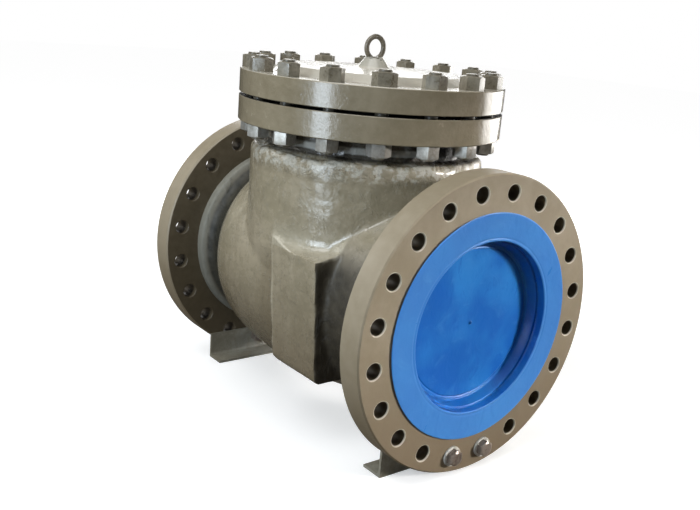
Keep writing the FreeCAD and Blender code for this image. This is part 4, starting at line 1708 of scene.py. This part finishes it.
@dataclass
class EndCaps:
    """The blue covers in the pipe ends: a flat rim, a stepped cup and a floor with a nub."""

    layout: Layout
    rim_thickness: float = 0.003
    rim_edge: float = 0.0015
    mouth_groove: float = 0.0009
    lip_width: float = 0.0065
    step_depth: float = 0.020
    depth: float = 0.040
    wall: float = 0.004
    rim_radius: float = 0.2463
    plug_radius: float = 0.1931
    mouth_radius: float = 0.186
    step_radius: float = 0.181
    floor_radius: float = 0.172
    bead_start: float = 0.0035
    bead_end: float = 0.0015
    bead_height: float = 0.0016
    draft: float = 0.0002
    floor_ring_radius: float = 0.1655
    floor_ring_width: float = 0.0024
    floor_ring_depth: float = 0.0017
    nub_radius: float = 0.004
    nub_height: float = 0.0028
    corner: float = 0.0018
    segment: float = 0.008
    steps: int = 144
    wave: float = 0.0004
    wave_scale: Point = (9.0, 9.0, 9.0)
    cup_wave: float = 3.0
    face_skin: Span = (0.0012, 0.0004)
    cup_skin: Span = (0.001, 0.004)

    def _outline(self) -> Outline:
        """Return the outline of the inlet's cover.

        Returns:
            Places along X and radii, from the axis round the rim and back.
        """
        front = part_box("inlet_cap")[1].x
        face, floor, step = front - self.rim_thickness, front - self.depth, front - self.step_depth
        back, groove = floor - self.wall, self.floor_ring_width
        outer = [
            (back, 0.0),
            (back, self.floor_radius + self.wall),
            (step, self.step_radius + 2 * self.wall),
            (face, self.plug_radius),
            (face, self.rim_radius - self.rim_edge),
            (face + self.rim_edge, self.rim_radius),
        ]
        lip = self.mouth_radius + self.lip_width
        inner = [
            (front, self.rim_radius - self.rim_edge),
            (front, lip + groove),
            (front - self.mouth_groove, lip),
            (front, lip - groove),
            (front, self.mouth_radius),
            (step + self.bead_start, self.mouth_radius - self.draft),
            (step + self.bead_end, self.mouth_radius - self.bead_height),
            (step, self.mouth_radius - self.draft),
            (step, self.step_radius),
            (floor, self.floor_radius),
            (floor, self.floor_ring_radius + groove),
            (floor - self.floor_ring_depth, self.floor_ring_radius),
            (floor, self.floor_ring_radius - groove),
            (floor, self.nub_radius),
            (floor + self.nub_height, self.nub_radius / 2),
            (floor + self.nub_height, 0.0),
        ]
        return divided(eased_line(outer + inner, self.corner), self.segment)

    def _moulded(self, name: str, side: int) -> Mesh:
        """Return one cover's mesh, slightly wavy as moulded plastic is.

        Args:
            name: The mesh's name.
            side: 1 for the inlet, -1 for the outlet.

        Returns:
            The mesh.
        """
        mesh = as_mesh(spun(self._outline(), self.layout.axis_height, self.steps), name)
        points, outward = positions(mesh), normals(mesh)
        front = points[:, 0].max()
        reach = np.hypot(points[:, 1], points[:, 2] - self.layout.axis_height)
        inside = rise_between(-reach, -self.plug_radius, -self.mouth_radius)
        seen = rise_between(points[:, 0], front - self.face_skin[0], front - self.face_skin[1])
        push = waves(points, self.wave_scale, 2, 5.0 * side) * self.wave
        cup = inside * (outward[:, 0] > -0.2) * rise_between(front - points[:, 0], *self.cup_skin)
        rise = (push - self.wave) * seen + self.cup_wave * push * cup
        points += rise[:, None] * outward
        if side < 0:
            points[:, 0] *= -1
            mesh.flip_normals()
        set_positions(mesh, points)
        return mesh

    def build(self) -> None:
        """Build both covers."""
        plastic = CAP_PLASTIC.material()
        for end, side in (("inlet", 1), ("outlet", -1)):
            node, name = f"{end}_cap", f"{end}_cap_moulded"
            mesh = self._moulded(name, side)
            dressed(mesh, name, plastic, body=node, stands_for=[node])


@dataclass
class Feet:
    """The angle irons under the flanges."""

    nodes: dict

    def build(self) -> None:
        """Give the feet their finish."""
        enamel = FOOT_ENAMEL.material()
        for end in ("inlet", "outlet"):
            repaint(self.nodes[f"{end}_foot"], enamel)


@dataclass
class Inside:
    """The seat, disc and hinge."""

    nodes: dict
    layout: Layout

    def build(self) -> None:
        """Give the inner pieces their finishes."""
        axis = (0.0, 0.0, self.layout.axis_height)
        seat = replace(SEAT_STEEL, ring_centre=axis).material()
        steel = replace(DISC_STEEL, ring_centre=axis).material()
        for name in ("seat_ring", "hinge_pin", "pin_cotters", "bracket_bolts"):
            repaint(self.nodes[name], seat)
        for name in ("disc", "disc_washer", "disc_nut", "disc_cotter"):
            repaint(self.nodes[name], steel)
        for name in ("hinge_arm", "hinge_bracket"):
            repaint(self.nodes[name], steel)
        repaint(self.nodes["hinge_bushes"], BUSH_BRONZE.material())


# Studio


def direction(azimuth: float, elevation: float) -> Vector:
    """Return the direction to a place in the studio.

    Args:
        azimuth: Degrees from the inlet's side, towards +Y.
        elevation: Degrees above the level.

    Returns:
        A vector of length 1.
    """
    turn, lift = math.radians(azimuth), math.radians(elevation)
    flat = math.cos(lift)
    return Vector((math.cos(turn) * flat, math.sin(turn) * flat, math.sin(lift)))


class Aim(Enum):
    """Where a lamp points."""

    MIDDLE = (0.0, 0.0, 0.42)
    COVER = (0.0, 0.0, 0.75)
    INLET_FACE = (0.435, 0.0, 0.27)


@dataclass(frozen=True)
class Softbox:
    """A rectangular lamp aimed at the valve."""

    name: str
    azimuth: float
    elevation: float
    distance: float
    width: float
    height: float
    power: float
    colour: Colour = (1.0, 1.0, 1.0)
    aim: Aim = Aim.MIDDLE
    spread: float = 180.0

    def build(self) -> None:
        """Hang the lamp."""
        lamp = bpy.data.lights.new(self.name, "AREA")
        lamp.shape = "RECTANGLE"
        lamp.size, lamp.size_y = self.width, self.height
        lamp.energy = self.power
        lamp.color = self.colour
        lamp.spread = math.radians(self.spread)
        towards = direction(self.azimuth, self.elevation)
        turned = towards.to_track_quat("Z", "Y").to_matrix().to_4x4()
        place = Vector(self.aim.value) + towards * self.distance
        put_in_scene(self.name, lamp).matrix_world = Matrix.Translation(place) @ turned


# Each with its azimuth, elevation, distance, width, height, power and colour.
LAMPS = (
    Softbox("strip_lamp", -77.0, 12.0, 2.8, 0.7, 1.9, 46.0, (0.76, 0.88, 1.0)),
    Softbox("left_lamp", -134.0, 24.0, 3.4, 1.6, 1.6, 28.0, (1.0, 0.98, 0.92)),
    Softbox("right_lamp", 88.0, 8.0, 3.2, 2.1, 1.2, 46.0, (1.0, 0.98, 0.94)),
    Softbox("ceiling_lamp", -60.0, 80.0, 2.6, 1.8, 1.8, 26.0, (1.0, 0.99, 0.96)),
    Softbox("high_lamp", -82.0, 52.0, 3.0, 1.2, 1.2, 24.0, (0.96, 0.98, 1.0)),
    Softbox(
        "inlet_lamp", 42.0, 17.0, 3.4, 0.9, 0.9, 3.5, (1.0, 0.97, 0.94), Aim.INLET_FACE, spread=14.0
    ),
    Softbox("back_lamp", 141.0, 18.0, 3.6, 3.0, 1.2, 50.0, aim=Aim.COVER),
)


@dataclass(frozen=True)
class Camera:
    """The camera that sees the valve as the photograph does."""

    place_from_axis: Point = (1.58873, -1.28170, 0.59885)
    azimuth: float = -38.3903
    elevation: float = 15.3153
    roll: float = 4.7829
    lens: float = 44.789
    sensor: float = 36.0
    clip_end: float = 100.0

    def build(self, axis_height: float) -> None:
        """Place the camera and make it the scene's own.

        Args:
            axis_height: The height of the pipe axis.
        """
        turn = math.radians(self.azimuth)
        back = direction(self.azimuth, self.elevation)
        right = Vector((-math.sin(turn), math.cos(turn), 0.0))
        level = Matrix((right, back.cross(right), back)).transposed()
        rolled = level @ Matrix.Rotation(math.radians(self.roll), 3, "Z")
        data = bpy.data.cameras.new("photo_camera")
        data.lens, data.sensor_width = self.lens, self.sensor
        data.clip_end = self.clip_end
        holder = put_in_scene("photo_camera", data)
        place = Vector(self.place_from_axis) + Vector((0.0, 0.0, axis_height))
        holder.matrix_world = Matrix.Translation(place) @ rolled.to_4x4()
        bpy.context.scene.camera = holder


@dataclass(frozen=True)
class Studio:
    """A pale floor under a pale sky, with soft lamps."""

    floor_size: float = 30.0
    sky: Colour = (1.0, 1.0, 1.0)
    sky_light: float = 0.1

    def _floor(self) -> None:
        """Lay the floor."""
        form = bmesh.new()
        bmesh.ops.create_grid(form, x_segments=1, y_segments=1, size=self.floor_size / 2)
        mesh = as_mesh(form, "studio_floor")
        mesh.materials.append(STUDIO_PAPER.material())
        put_in_scene("studio_floor", mesh)

    def _sky(self) -> None:
        """Set a white backdrop that lights the valve less than it shows."""
        sheet = Sheet("studio_sky", of_sky=True)
        seen, felt = (
            sheet.node("ShaderNodeBackground", {}, {"Color": (*self.sky, 1.0), "Strength": light})
            for light in (1.0, self.sky_light)
        )
        bpy.context.scene.world = sheet.end(sheet.seen_and_felt(seen, felt))

    def build(self) -> None:
        """Build the floor, the sky and the lamps."""
        self._floor()
        self._sky()
        bpy.context.scene.view_settings.view_transform = "Standard"
        for lamp in LAMPS:
            lamp.build()


def main() -> None:
    """Dress the valve and set up the studio."""
    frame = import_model()
    nodes = frame["nodes"]
    layout = Layout()
    Casting(layout, nodes["valve_body"]).build()
    Cover(nodes).build()
    Fasteners(nodes).build()
    EndCaps(layout).build()
    Feet(nodes).build()
    Inside(nodes, layout).build()
    Studio().build()
    Camera().build(layout.axis_height)


if __name__ == "__main__":
    logging.basicConfig(level=logging.INFO, format="%(message)s")
    main()
